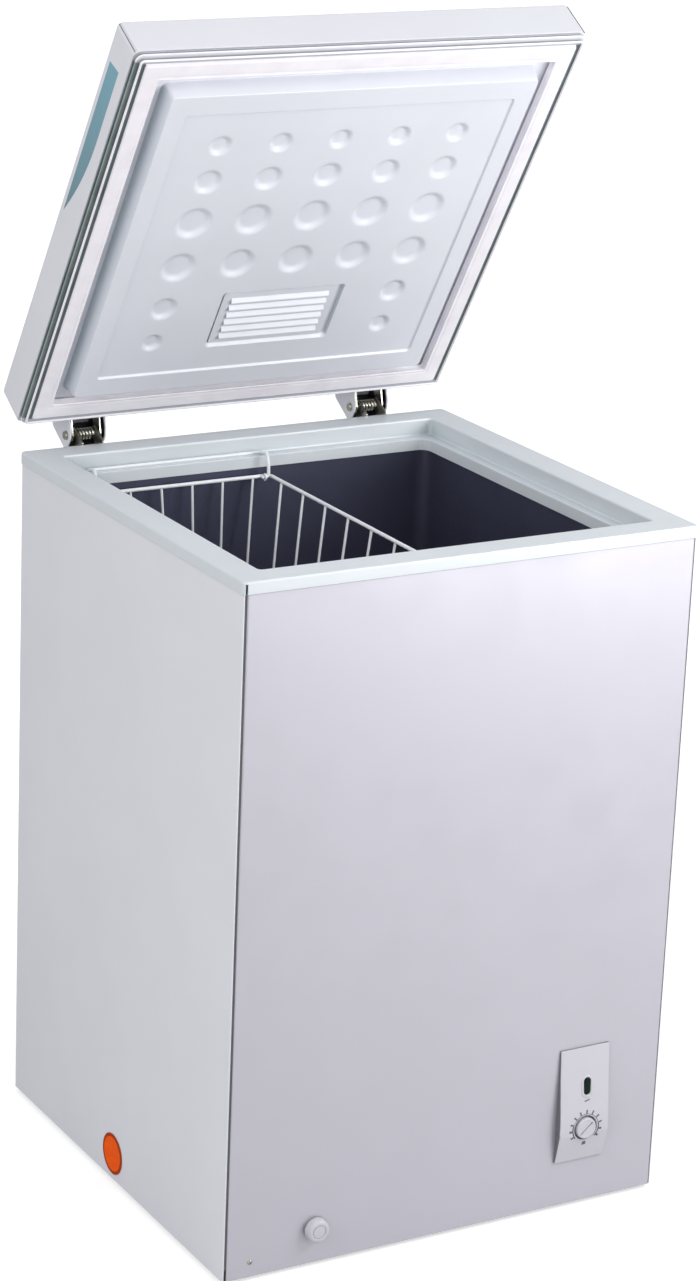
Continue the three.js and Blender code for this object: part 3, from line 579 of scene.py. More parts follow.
def tank_finish():
    """Stucco-embossed dark lining with a faint violet cast, upright frost-like scuffs, and painted
    highlights on its edges.
    """
    s = Surface("tank_liner", 0.32, 0.35)
    base = rgb(78, 79, 100)
    cloud = s.patches(7.0, 3.0, 0.35, 0.65)
    tone = s.mix(cloud, dim(base, 0.8), base)
    scuffs = s.remap(s.noise(1.0, 4.0, 0.6, s.stretched((160.0, 160.0, 22.0))), 0.62, 0.8)
    tone = s.mix(s.times(scuffs, 0.2), tone, rgb(96, 98, 116))
    # painted highlight: lighter colour on the lining's edges and rounded corners
    s.colour(s.mix(s.times(s.edges(0.003), 0.25), tone, rgb(110, 112, 128)))
    stucco = s.noise(240.0, 3.0, 0.6)
    s.rough(s.remap(stucco, 0.3, 0.7, 0.3, 0.48))
    s.bump(stucco, 0.3, 0.0004)


def foam_finish():
    """Cut polyurethane foam: open cells over slow waves, darker where it has aged."""
    s = Surface("foam", 0.95)
    aged = s.remap(s.noise(18.0, 5.0, 0.6), 0.3, 0.7)
    tone = s.mix(aged, rgb(226, 205, 150), rgb(240, 226, 182))
    cells = s.cells(620.0)
    pits = s.remap(cells, 0.15, 0.55)
    s.colour(s.mix(pits, dim(rgb(226, 205, 150), 0.7), tone))
    s.bump(s.noise(90.0, 4.0), 0.3, 0.0012, s.bump(cells, 0.7, 0.0008))


def gasket_finish():
    """Soft white vinyl with painted shade: folds and groove painted grey-green on the sides, the fold
    painted grey on the ends.
    """
    s = Surface("gasket", 0.5, Sheen_Weight=0.15, Subsurface_Weight=0.05, Subsurface_Scale=0.002)
    s.lid_closed()
    deep = s.math("SUBTRACT", SHELL.z0 * MM, s.axis("Z"))
    cloud = s.patches(30.0, 3.0, 0.3, 0.7)
    face = s.mix(cloud, rgb(243, 238, 244), rgb(252, 249, 253))
    # painted shade: grey-green and grey tones that stand in for the shade in the seal's groove and
    # fold
    groove = s.mix(cloud, rgb(78, 92, 96), rgb(104, 118, 120))
    fold = s.mix(cloud, rgb(138, 152, 150), rgb(160, 172, 168))
    pale = s.times(s.remap(deep, 0.0026, 0.0032), s.remap(deep, 0.0058, 0.0052))
    sides = s.mix(pale, groove, fold)
    above = s.remap(deep, 0.0096, 0.009)

    def past(axis, half, start, end):
        """1 beyond the end line, 0 before the start line, both in mm inside the seal's edge."""
        away = s.math("ABSOLUTE", s.axis(axis))
        return s.remap(away, (half - start) * MM, (half - end) * MM)

    outward = past("X", SEAL.w / 2, 8.6, 8.2)
    endward = past("Y", SEAL.d / 2, 7, 6)
    # painted shade: grey on the fold along the front and back ends
    ends = s.mix(pale, rgb(176, 180, 188), face)
    tone = s.mix(s.times(endward, above), face, ends)
    outward = s.times(outward, past("Y", SEAL.d / 2, 5, 7))
    tone = s.mix(s.times(outward, above), tone, sides)
    # painted shade: darker where the seal's creases shut out the light
    crease_shade = s.remap(s.corners(0.003), 0.0, 0.5, 0.35, 0.0)
    s.colour(s.mix(crease_shade, tone, rgb(96, 104, 108)))
    s.rough(s.patches(70.0, 3.0, 0.3, 0.7, 0.44, 0.6))
    s.bump(s.noise(1100.0, 2.0), 0.25, 0.00005)


def lens_finish():
    """Dark green lens, ribbed inside and lightly scratched."""
    s = Surface("green_lens", 0.25, Specular_IOR_Level=0.2)
    ribs = s.math("SINE", s.times(s.axis("Z"), 4200.0))
    s.colour(s.mix(s.remap(ribs, -1.0, 1.0), rgb(2, 20, 12), rgb(6, 36, 22)))
    s.rough(s.patches(240.0, 4.0, 0.4, 0.7, 0.2, 0.34))
    s.bump(ribs, 0.25, 0.00012)


def label_finish():
    """Printed orange film: a plain disc inside a darker rim, in slightly mottled ink."""
    s = Surface("orange_label", 0.6, Specular_IOR_Level=0.08)
    centre = Vector((0.0, LABEL.y * MM, LABEL.z * MM))
    flat = s.add(
        "ShaderNodeVectorMath", {0: s.place, 1: (0.0, 1.0, 1.0)}, operation="MULTIPLY"
    ).outputs[0]
    away = s.add("ShaderNodeVectorMath", {0: flat, 1: centre}, operation="DISTANCE")
    radius = away.outputs["Value"]
    ink = s.patches(170.0, 4.0, 0.35, 0.65)
    middle = s.mix(ink, rgb(250, 86, 0), rgb(255, 102, 2))
    whole = LABEL.d / 2 * MM
    edge = s.remap(radius, whole * 0.82, whole * 0.86)
    s.colour(s.mix(edge, middle, rgb(176, 56, 4)))
    s.rough(s.remap(ink, 0.0, 1.0, 0.48, 0.62))
    s.bump(s.noise(500.0, 2.0), 0.15, 0.00005)


def decal_finish():
    """Printed wedge: blue-green, deepening towards its point, with a fine dot screen."""
    s = Surface("decal", 0.35, Coat_Weight=0.4, Coat_Roughness=0.15)
    s.lid_closed()
    along = s.remap(s.axis("Y"), -0.24, -0.02)
    tone = s.mix(along, rgb(118, 172, 190), rgb(98, 128, 140))
    dots = s.remap(s.cells(900.0), 0.2, 0.5)
    s.colour(s.mix(s.times(dots, 0.3), tone, rgb(140, 182, 196)))
    s.rough(s.patches(60.0, 3.0, 0.3, 0.7, 0.3, 0.42))
    s.bump(s.noise(300.0, 2.0), 0.1, 0.00005)


enamel("cabinet_paint", rgb(231, 232, 238), 0.34)
enamel("lid_paint", rgb(231, 232, 238), 0.34)
enamel("front_paint", rgb(203, 201, 210), 0.36, flake=0.05, metallic=0.35)
moulded("white_plastic", rgb(222, 229, 233), 0.42, subsurface=0.04)
# painted shade: strong blue-grey darkening deep in the collar's throat and corners
moulded(
    "collar_plastic", rgb(217, 223, 227), 0.34, shade_in_corners=(0.045, 0.7), subsurface=0.04, gloss=0.95
)
moulded("joint_shadow", rgb(150, 152, 160), 0.7)
moulded("panel_plastic", rgb(200, 198, 206), 0.42, subsurface=0.03)
moulded("frame_plastic", rgb(112, 110, 118), 0.5)
# painted shade on the lid mould's sheltered left-facing wall faces
moulded("lid_plastic", rgb(232, 234, 241), 0.36, grain=1400.0, height=0.00004, left_wall_shade=0.6)
moulded("coated_wire", rgb(240, 242, 245), 0.3, grain=700.0, height=0.00005)
bare_metal("zinc_steel", rgb(206, 204, 196), rgb(168, 166, 150), 0.34)
bare_metal("aluminium_tube", rgb(206, 208, 212), rgb(170, 172, 176), 0.36)
bare_metal("copper_tube", rgb(214, 138, 96), rgb(120, 74, 50), 0.36)
dull_black("black_paint", rgb(24, 24, 27), 0.36, 500.0, 0.00012, rgb(112, 112, 116))
# painted shade: near-black for the inside of the hinge channels
dull_black("hinge_shade_black", rgb(14, 14, 17), 0.42, 700.0, 0.00008, rgb(60, 60, 66))
dull_black("black_rubber", rgb(30, 30, 33), 0.72, 900.0, 0.00015, rgb(82, 82, 86))
dull_black("printing", rgb(96, 95, 102), 0.5, 900.0, 0.00003, rgb(126, 124, 130))
# painted shade: the grey of a shaded narrow joint, for the strips that fill corner joints
dull_black("seam", rgb(92, 92, 98), 0.6, 900.0, 0.00008, rgb(110, 110, 116))
tank_finish()
foam_finish()
gasket_finish()
lens_finish()
label_finish()
decal_finish()

# ---- cabinet
HALF_W = RIGHT.x1
FRONT_Y = FRONT.y0
BACK_Y = BACK.y1
PANEL_TOP = FRONT.z1
FLOOR_Z = FRONT.z0
HEM = 1.4  # folded edge of a side panel, seen from the front
SEAM = 3.0  # joint between that hem and the front panel, filled with a grey strip of painted shade
RIGHT_SEAM = 0.35  # the same joint on the right, closed tight
SEAM_DEEP = 6.4  # how far behind the front's face that joint reaches
EDGE_FOLD = 5.4  # depth of the front panel's folded edges
FOLD_R = 1.9  # outside radius of a sheet's fold
DRAIN_R = 10  # hole in the front panel for the drain's outlet
SKIRT = 14  # height of the collar's skirt
LIP_TOP = FLOOR_Z + 15.5  # the base plate's lip stands inside the panels up to here


def drum(x, z, r, y0, y1):
    """A plain round bar along Y, for cutting holes."""
    return turned([(r, -y0), (r, -y1)], (x, 0, z), "y")


def screw(at, axis="y", r=3.4):
    """A cross-recess screw: a domed head with the recess sunk in it."""
    head = [(0, -1.5), (r * 0.5, -1.5), (r * 0.5, 0), (r, 0), (r, 0.35)]
    dome = [(r * math.cos(a), 0.35 + 1.25 * math.sin(a)) for a in (0.25, 0.6, 0.95, 1.25)]
    shape = turned(head + dome + [(0, 1.6)], (0, 0, 0), "z", 24)
    arm, half = r * 0.62, 0.42
    cross = [
        (arm, -half), (arm, half), (half, half), (half, arm), (-half, arm), (-half, half),
        (-arm, half), (-arm, -half), (-half, -half), (-half, -arm), (half, -arm), (half, -half),
    ]
    obj = solid("screw_blank", shape)
    cut(obj, prism(cross, 0.5, 3))
    points = [tuple(v.co / MM) for v in obj.data.vertices]
    faces = [tuple(p.vertices) for p in obj.data.polygons]
    bpy.data.objects.remove(obj)
    turn = {
        "y": Matrix.Rotation(TAU / 4, 4, "X"), "-y": Matrix.Rotation(-TAU / 4, 4, "X"),
        "x": Matrix.Rotation(TAU / 4, 4, "Y"),
    }[axis]
    return moved((points, faces), Matrix.Translation(at) @ turn)


def front_panel():
    """Front sheet, a grey strip of painted shade in the joint at its left edge, and the screw below.
    """
    left, right = -HALF_W + HEM + SEAM, HALF_W - HEM - RIGHT_SEAM
    back = FRONT_Y + EDGE_FOLD
    path = bend([(left, back), (left, FRONT_Y), (right, FRONT_Y), (right, back)], FOLD_R, 6)
    obj = solid("front_sheet", prism(strip(path, SHEET), FLOOR_Z, PANEL_TOP))
    before, behind = FRONT_Y - 5, FRONT_Y + 5
    cut(obj, drum(CAP.x, CAP.z, DRAIN_R, before, behind))
    cut(obj, prism(rounded(48, 112, 3, (PANEL.x, PANEL.z)), before, behind, "xz"))
    dress(obj, "front_paint", stands_for=["front_panel"])
    x0, x1 = -HALF_W + HEM + 0.05, left - 0.05
    # painted shade: grey strip standing in for the shade inside the corner joint
    seam_shade_strip = block(x0, FRONT_Y + 1.3, FLOOR_Z, x1, FRONT_Y + 3.2, PANEL_TOP)
    piece("corner_joint_shade", "seam", seam_shade_strip)
    at = (LEFT.x0 + 33, FRONT_Y, FLOOR_Z + 17.5)
    piece("front_screw", "zinc_steel", screw(at, "y", 2.9))


def collar_shadow_line():
    """Dark strip of painted shadow under the collar's skirt, along the front and both sides."""
    x, y = HALF_W + 0.15, FRONT_Y - 0.15
    path = bend([(-x, LEFT.y1), (-x, y), (x, y), (x, LEFT.y1)], FOLD_R, 6)
    high = COLLAR.z1 - SKIRT - 0.05
    piece("collar_shadow_line", "joint_shadow", prism(strip(path, 0.6), high - 0.7, high))


def side_sheet():
    """The left side panel: it wraps the corner in a hem and runs on behind the front panel."""
    x = -HALF_W
    wall = bend(
        [(x, LEFT.y1), (x, FRONT_Y), (x + HEM, FRONT_Y), (x + HEM, FRONT_Y + 0.95)], 0.65, 5
    )
    thin = SHEET * 0.85
    shape = prism(strip(wall, thin), FLOOR_Z, PANEL_TOP)
    groove = FRONT_Y + SEAM_DEEP
    inner = -(HALF_W - 8.1)
    pocket = [(x + HEM, FRONT_Y + 0.35), (x + HEM, groove), (inner, groove)]
    return [shape, prism(strip(bend(pocket, 0.6), thin), LIP_TOP, PANEL_TOP)]


VENT_ROWS = [GRILLE.z0 + 14 + 18 * i for i in range(7)]  # middles of the slots


def side_panels():
    """Both side sheets; the right one has slots behind the vent grille."""
    piece("left_side_sheet", "cabinet_paint", *side_sheet(), nodes=["left_side_panel"])
    right = solid("right_side_sheet", *[mirrored(shape) for shape in side_sheet()])
    slots = [
        prism(rounded(GRILLE.d - 20, 8, 3.6, (GRILLE.y, z)), HALF_W - 5, HALF_W + 5, "yz")
        for z in VENT_ROWS
    ]
    cut(right, *slots)
    dress(right, "cabinet_paint", stands_for=["right_side_panel"])


def side_grille():
    """Vent grille: a rounded plate with slots, a slanting fin in each, and four corner screws."""
    g = GRILLE
    obj = solid("side_grille", plate(g.d, g.h, 6, g.x0, g.x1, 0.4, (g.y, g.z), "yz"))
    slots = [
        prism(rounded(g.d - 28, 8, 3.9, (g.y, z)), g.x0 - 2, g.x1 + 2, "yz") for z in VENT_ROWS
    ]
    cut(obj, *slots)
    dress(obj, "white_plastic", stands_for=["side_vent_grille"])
    fins = []
    for z in VENT_ROWS:
        section = [(g.x0, z - 3.4), (g.x0, z - 2.4), (g.x1 - 0.1, z + 3), (g.x1 - 0.1, z + 2)]
        fins.append(prism(section, g.y0 + 15, g.y1 - 15, "xz"))
    piece("side_grille_fins", "white_plastic", *fins)
    marks = [(g.x1 - 1.3, y, z) for y in (g.y0 + 6, g.y1 - 6) for z in (g.z0 + 6, g.z1 - 6)]
    piece("side_grille_screws", "zinc_steel", *[screw(at, "x", 2.6) for at in marks])


def rear_hatch():
    """Cover over the compressor compartment, with pressed louvre hoods and screws."""
    h = HATCH
    obj = solid("rear_hatch", plate(h.w, h.h, 4, h.y0, h.y1, 0.35, (h.x, h.z), "xz"))
    rows = [h.z0 + 59 + i * 17 for i in range(9)]
    wide = h.w - 52
    cut(obj, *[
        prism(rounded(wide, 6, 1.5, (h.x, z)), h.y0 - 3, h.y1 + 3, "xz") for z in rows
    ])
    cut(obj, drum(GLAND.x, GLAND.z, 7, h.y0 - 4, h.y1 + 4))
    dress(obj, "cabinet_paint", stands_for=["rear_cover"])
    hoods = []
    for z in rows:
        arc = []
        for i in range(8):
            a = i / 7 * TAU / 4
            arc.append((h.y1 - 0.2 + 4 * math.sin(a), z - 3.5 + 7.5 * math.cos(a)))
        hood = strip(arc, 0.8)
        hoods.append(prism(hood, h.x - wide / 2, h.x + wide / 2, "yz"))
        cheek = arc + [(h.y1 - 0.2, z - 3.5)]
        for x in (h.x - wide / 2 - 0.4, h.x + wide / 2 - 0.4):
            hoods.append(prism(cheek, x, x + 0.8, "yz"))
    piece("rear_hatch_hoods", "cabinet_paint", *hoods)
    marks = [(x, h.y1 - 0.1, z) for x in (h.x0 + 6, h.x1 - 6) for z in (h.z0 + 6, h.z, h.z1 - 6)]
    piece("rear_hatch_screws", "zinc_steel", *[screw(at, "-y") for at in marks])


def cord_gland():
    """Rubber bush in the rear cover, where the mains lead would come out."""
    profile = [
        (3.2, -12), (4.6, -12), (5, -11.6), (6, -10.4), (8, -9), (9, -5), (9.5, -1.9), (9.1, -1.4),
        (6.6, -1.4), (6.6, 3.2), (6.2, 3.5), (3.2, 3.5),
    ]
    at = (GLAND.x, BACK_Y + GAP, GLAND.z)
    shape = turned(profile, at, "y", closed=True)
    piece("lead_gland", "black_rubber", shape, nodes=["cord_gland"])


def back_screws():
    """The back panel's own fixings, down both edges."""
    marks = [(x, BACK_Y, z) for x in (-268, 268) for z in (40, 290, 540, 770)]
    piece("back_screws", "zinc_steel", *[screw(at, "-y", 3) for at in marks])


def collar_profile():
    """(width, depth, corner radius, height) round the collar's section."""
    w, d, top = COLLAR.w, COLLAR.d, COLLAR.z1
    low, end = top - SKIRT, COLLAR.z0
    step = top - 20  # the ledge that the basket hangs on
    outer, mouth, throat = (w, d), (w - 74, d - 71.5), (w - 74 - 28, d - 71.5 - 28)
    rows = [
        (outer, -0.8, 4.7, low), (outer, 0, 5, low + 0.6), (outer, 0, 5, top - 2.5),
        (outer, -0.5, 4.9, top - 1.2), (outer, -1.5, 4.6, top - 0.35), (outer, -3, 4.4, top),
        (mouth, 4, 6.4, top), (mouth, 2, 5.6, top - 0.35), (mouth, 0.5, 5.2, top - 1.2),
        (mouth, 0, 5, top - 2.6), (mouth, -0.5, 5, step + 2), (mouth, -1, 5, step + 0.7),
        (mouth, -2.4, 5, step), (throat, 2.4, 12.6, step), (throat, 0.6, 12.2, step - 0.7),
        (throat, 0, 12, step - 2), (throat, 0, 12, end), (throat, 3, 13.5, end),
        (throat, 3, 13.5, step - 1.9), (mouth, 2, 6, step - 1.9), (mouth, 2, 6, top - 2),
        (outer, -3.4, 3.3, top - 2), (outer, -3.4, 3.3, low),
    ]
    return [(x + grow, y + grow, r, z) for (x, y), grow, r, z in rows]


def collar():
    """The tank's white mouth, with a narrow slot in its skirt at the front left corner."""
    obj = solid("collar_moulding", loft([ring(*size, steps=8) for size in collar_profile()], True))
    x, top = -HALF_W, COLLAR.z1
    cut(obj, block(x + 1.0, COLLAR.y0 - 1, top - 16, x + 3.6, FRONT_Y - 0.1, top - 2.6))
    dress(obj, "collar_plastic", stands_for=["collar"])


def tub(x0, x1, d, r, floor, top, fillet):
    """A round-cornered vessel's volume with a filleted floor."""
    rings = []
    middle = ((x0 + x1) / 2, 0)
    for i in range(6):
        a = i / 5 * TAU / 4
        inset = fillet * (1 - math.sin(a))
        z = floor + fillet * (1 - math.cos(a))
        size = (x1 - x0 - 2 * inset, d - 2 * inset, max(r - inset, 2))
        rings.append(ring(*size, z, middle, steps=8))
    rings.append(ring(x1 - x0, d, r, top, middle, steps=8))
    return loft(rings)


TANK_WALL = 1.5


def tank():
    """Inner liner, stepped up over the compressor compartment."""
    t = TANK_WALL
    hump_x, hump_z = 28, 292
    x, d = LINER.x1, LINER.d
    low, top = LINER.z0, LINER.z1
    obj = solid("tank_lining", tub(-x, x, d, 17.5, hump_z - t, top, 9))
    cut(obj, tub(-x, hump_x + t, d, 17.5, low, hump_z + 40, 11), operation="UNION")
    cut(obj, tub(-x + t, x - t, d - 2 * t, 16, hump_z, top + 5, 8))
    cut(obj, tub(-x + t, hump_x, d - 2 * t, 16, low + t, hump_z + 38, 10))
    cut(obj, turned([(8.4, low - 5), (8.4, low + 5)], (PLUG.x, PLUG.y, 0)))
    dress(obj, "tank_liner", stands_for=["inner_liner"])


def feet():
    """Four glide feet with a grooved sole."""
    for name in ("front_left", "front_right", "back_left", "back_right"):
        b = Box("foot_" + name)
        r = b.w / 2
        profile = [
            (0, 0), (r - 8, 0), (r - 7.4, 0.7), (r - 5.6, 0.7), (r - 5, 0), (r - 2.4, 0),
            (r - 0.9, 0.5), (r - 0.1, 1.6), (r, 2.2), (r, b.z1 - 0.5), (r - 0.5, b.z1), (0, b.z1),
        ]
        shape = turned(profile, (b.x, b.y, 0))
        piece("glide_" + name, "black_rubber", shape, nodes=["foot_" + name])


# ---- cooling circuit


COMP_R = 58  # radius of the compressor's shell


def evaporator_path():
    """Up round the tank above its step, climbing one pitch from corner to corner."""
    w, d = LINER.x1 + 5, LINER.y1 + 5
    low, pitch = 380, 16
    corners = [(w, -d), (w, d), (-w, d), (-w, -d)]
    turns = [(*corners[i % 4], low + i * pitch) for i in range(1, 20)]
    return [(w, 0, low - 8), *turns, (0, -d, 700)]


def condenser_path():
    """A serpentine behind the left side panel."""
    x, reach, low, pitch = -HALF_W + SHEET + 4, 215, 110, 70
    path = []
    for i in range(9):
        side = 1 if i % 2 else -1
        path += [(x, side * reach, low + i * pitch), (x, -side * reach, low + i * pitch)]
    return path


def pipes():
    """The two coils, and the compressor's discharge and suction pipes."""
    cx, cy, cz = COMPRESSOR.x, COMPRESSOR.y, COMPRESSOR.z0
    left, right = cx - COMP_R, cx + COMP_R
    discharge = [
        (left - 0.7, cy - 20, cz + 76), (left - 22, cy - 20, cz + 76), (left - 22, cy - 20, 226),
        (left - 22, cy - 100, 226), (left - 22, cy - 100, 60),
    ]
    suction = [
        (right + 0.7, cy + 10, cz + 64), (right + 18, cy + 10, cz + 64), (right + 18, cy + 10, 222),
        (right + 18, cy - 120, 222), (cx + 40, cy - 120, 222), (cx + 40, cy - 120, 245.6),
    ]
    for name, path, r, bend_r, finish in (
        ("evaporator_coil", evaporator_path(), 3.2, 22, "aluminium_tube"),
        ("condenser_coil", condenser_path(), 2.6, 28, "copper_tube"),
        ("discharge_pipe", discharge, 3, 14, "copper_tube"),
        ("suction_pipe", suction, 4, 16, "copper_tube"),
    ):
        piece(name + "_bent", finish, tube(bend(path, bend_r, 6), r, 12), nodes=[name])


def compressor():
    """Domed steel shell with its welded belt, on two cross feet."""
    cx, cy, cz = COMPRESSOR.x, COMPRESSOR.y, COMPRESSOR.z0
    r, h = COMP_R, COMPRESSOR.h
    shell = [(0, 0), (r * 0.62, 0), (r * 0.76, 2), (r * 0.88, 7), (r * 0.96, 15), (r, 28)]
    shell += [(r, h * 0.5 - 1), (r + 2.6, h * 0.5), (r + 3, h * 0.5 + 1), (r + 3, h * 0.5 + 4)]
    shell += [(r + 2.6, h * 0.5 + 5), (r, h * 0.5 + 6)]
    for i in range(9):
        a = i / 8 * TAU / 4
        shell.append((r * math.cos(a), h - 38 + 38 * math.sin(a)))
    parts = [turned(shell, (cx, cy, cz), segments=64)]
    for side in (-1, 1):
        parts.append(plate(144, 8, 3.9, cz, cz + 3, 0.5, (cx, cy + side * 36), "xy"))
    piece("compressor_shell", "black_paint", *parts, nodes=["compressor"])


def grommets():
    """Waisted rubber bushes that carry the compressor."""
    for i in range(1, 5):
        b = Box(f"compressor_grommet_{i}")
        g, gh = b.w / 2, b.h
        profile = [(0, 0), (g - 0.6, 0), (g, 0.6), (g, gh * 0.28)]
        for t in (0.25, 0.5, 0.75):
            profile.append((g - 2.5 * math.sin(t * math.pi), gh * (0.28 + 0.44 * t)))
        profile += [(g, gh * 0.72), (g, gh - 0.6), (g - 0.6, gh), (0, gh)]
        shape = turned(profile, (b.x, b.y, b.z0), segments=32)
        piece(f"grommet_{i}", "black_rubber", shape, nodes=[f"compressor_grommet_{i}"])


def relay_cover():
    """Ribbed box over the compressor's terminals."""
    b = Box("relay_cover")
    shapes = [plate(b.w, b.h, 4, b.y0 + 1, b.y1, 1, (b.x, b.z), "xz")]
    for i in range(5):
        x = b.x0 + 4 + 8 * i
        shapes.append(block(x, b.y0, b.z0 + 5, x + 2, b.y0 + 2, b.z1 - 5))
    piece("relay_box", "black_paint", *shapes, nodes=["relay_cover"])


def filter_drier():
    """Copper capsule, necked down to the tube at both ends."""
    b = Box("filter_drier")
    r, h = b.w / 2, b.h
    profile = [(0, 0), (2.6, 0), (3, 0.5), (3, 8), (4, 10), (7.6, 13), (r, 16)]
    profile = profile + [(q, h - z) for q, z in reversed(profile)]
    shape = turned(profile, (b.x, b.y, b.z0), segments=32)
    piece("drier", "copper_tube", shape, nodes=["filter_drier"])


# ---- controls, drain and label
BEZEL_BACK = FRONT_Y - GAP
BEZEL = [  # how far the bezel stands off, at heights from its middle
    (-69, 3.0), (-36, 10.0), (-20, 10.0), (-4, 8.8), (32, 5.0), (69, 2.5),
]


def bezel_y(z):
    """The bezel's face at a height."""
    above = z - PANEL.z
    for (a, p), (b, q) in zip(BEZEL, BEZEL[1:]):
        if above <= b:
            return BEZEL_BACK - p - (q - p) * (above - a) / (b - a)
    return BEZEL_BACK - BEZEL[-1][1]


PROUD = 0.12  # how far a print stands off the bezel
SUNK = 0.3  # how far its back lies in the bezel


def printed(outline):
    """A thin print that follows the bezel's face; outline is (x, z) points."""
    front = [(x, bezel_y(z) - PROUD, z) for x, z in outline]
    rear = [(x, bezel_y(z) + SUNK, z) for x, z in outline]
    return loft([front, rear])


def polar(r, degrees):
    """(x, z) at a radius and an angle round the knob."""
    a = math.radians(degrees)
    return KNOB.x + r * math.cos(a), KNOB.z + r * math.sin(a)


def sector(r0, r1, a0, a1):
    """Four corners of a tick between two radii and two angles."""
    return [polar(r0, a0), polar(r1, a0), polar(r1, a1), polar(r0, a1)]


def printed_ring(inner, a0, a1, thickness):
    """A printed band round the knob, whose thickness depends on the angle in degrees."""
    rings = []
    for angle in range(a0, a1 + 1, 2):
        (xa, za), (xb, zb) = polar(inner, angle), polar(inner + thickness(angle), angle)
        rings.append([
            (xa, bezel_y(za) - PROUD, za), (xb, bezel_y(zb) - PROUD, zb),
            (xb, bezel_y(zb) + SUNK, zb), (xa, bezel_y(za) + SUNK, za),
        ])
    return loft(rings)


def scale_marks():
    """Ticks round the knob, heavier at both ends, a stop mark, and a dash under the lens."""
    marks = [printed_ring(16.4, -44, 220, lambda angle: 0.7 if 10 < angle < 166 else 1.6)]
    for i in range(11):
        angle = -36 + i * 24.6
        heavy = i in (0, 1, 9, 10)
        half, start = (3.6, 18.2) if heavy else (2.8, 17.3)
        marks.append(printed(sector(start, 21.8, angle - half, angle + half)))
    marks.append(printed(sector(17.4, 22, 263, 277)))
    x0, x1 = LENS.x - 3.4, LENS.x + 3.4
    z0, z1 = LENS.z0 - 8.4, LENS.z0 - 6.8
    marks.append(printed([(x0, z0), (x1, z1), (x1, z1 + 1.5), (x0, z0 + 1.5)]))
    piece("scale_marks", "printing", *marks)


def control_panel():
    """Dark frame that fills the panel's back, and the pale bezel over it."""
    p = PANEL
    thick = 1.5
    front = [(BEZEL_BACK - out, p.z + up) for up, out in BEZEL]
    inner = [(y + thick + 0.02, z) for y, z in front]
    obj = solid("control_frame", prism(
        [(BEZEL_BACK, p.z0)] + inner + [(BEZEL_BACK, p.z1)], p.x0 + 0.25, p.x1 - 0.25, "yz"
    ))
    rear = block(p.x - 22, BEZEL_BACK - 0.5, p.z - 54, p.x + 22, p.y1, p.z + 54)
    cut(obj, rear, operation="UNION")
    panel_openings(obj)
    dress(obj, "frame_plastic", stands_for=["control_panel"])
    rear_face = [(y + thick, z) for y, z in reversed(front)]
    obj = solid("control_bezel", prism(front + rear_face, p.x0, p.x1, "yz"))
    soften(obj, 0.45, 50)
    settle(obj)
    panel_openings(obj)
    dress(obj, "panel_plastic")


def status_lens():
    """Green indicator lens in a raised surround that follows the bezel's slope."""
    tilt = Matrix.Rotation(-math.atan2(3.8, 36), 4, "X")
    at = Matrix.Translation((LENS.x, bezel_y(LENS.z), LENS.z))
    w, h = LENS.w + 1.4, LENS.h + 1.4
    rings = []
    for out, level in ((0, 0.4), (0, -0.5), (0.5, -0.9), (2.2, -0.9), (2.9, -0.4), (3.2, 0.3)):
        rings.append(ring(w + 2 * out, h + 2 * out, w / 2 + out - 0.1, level, plane="xz"))
    piece("lens_surround", "panel_plastic", moved(loft(rings, True), at @ tilt))
    lens = []
    for inset, level in ((0, 2.6), (0, 0.5), (0.3, 0.15), (0.8, 0)):
        size = (LENS.w - 2 * inset, LENS.h - 2 * inset, LENS.w / 2 - 0.1 - inset)
        lens.append(ring(*size, LENS.y0 + level, (LENS.x, LENS.z), "xz"))
    piece("status_lens", "green_lens", loft(lens), nodes=["indicator_lens"])


def panel_openings(obj):
    """The knob's well, its shaft's hole, the lens's window and the frame's joint."""
    p = PANEL
    front = KNOB.y0 - 10
    well_floor = BEZEL_BACK - 10 + 4
    well = [
        (KNOB.w / 2 + 2.9, -front), (KNOB.w / 2 + 2.9, -BEZEL_BACK + 9.6),
        (KNOB.w / 2 + 2.2, -BEZEL_BACK + 8.6), (KNOB.w / 2 + 1.7, -well_floor),
    ]
    cut(obj, turned(well, (KNOB.x, 0, KNOB.z), "y", 64))
    cut(obj, drum(KNOB.x, KNOB.z, 4, front, p.y1 + 5))
    window = rounded(LENS.w + 0.7, LENS.h + 0.7, LENS.w / 2, (LENS.x, LENS.z))
    cut(obj, prism(window, front, BEZEL_BACK - 3, "xz"))
    joint = p.z - 33.6
    for x0, x1 in ((p.x0 - 1, p.x0 + 0.8), (p.x1 - 0.8, p.x1 + 1)):
        cut(obj, block(x0, BEZEL_BACK - 12, joint, x1, BEZEL_BACK - 1.2, joint + 1.0))


def thermostat_knob():
    """Round knob with a raised rim and a slanting coin slot."""
    r, base, front = KNOB.w / 2, KNOB.y1, KNOB.y0
    h = base - front
    profile = [
        (0, 0), (r, 0), (r, h - 1.2), (r - 0.2, h - 0.6), (r - 0.7, h - 0.15), (r - 1.3, h),
        (r - 2.6, h), (r - 3, h - 0.35), (0, h - 0.35),
    ]
    obj = solid("coin_slot_knob", turned(profile, (KNOB.x, base, KNOB.z), "y", 72))
    slot = plate(2 * r - 4.5, 2.4, 1.1, front - 1, front + 2, 0.2, (0, 0), "xz")
    turn = Matrix.Translation((KNOB.x, 0, KNOB.z)) @ Matrix.Rotation(math.radians(-40), 4, "Y")
    cut(obj, moved(slot, turn))
    dress(obj, "panel_plastic", "thermostat_knob", ["thermostat_knob"])


def thermostat_shaft():
    """Plain shaft with chamfered ends behind the knob."""
    shaft = Box("thermostat_shaft")
    r = shaft.w / 2
    d = shaft.d
    profile = [(0, 0), (r - 0.4, 0), (r, 0.4), (r, d - 0.4), (r - 0.4, d), (0, d)]
    shape = turned(profile, (shaft.x, shaft.y1, shaft.z), "y", 32)
    piece(
        "dial_shaft", "zinc_steel", shape, body="thermostat_knob", nodes=["thermostat_shaft"]
    )


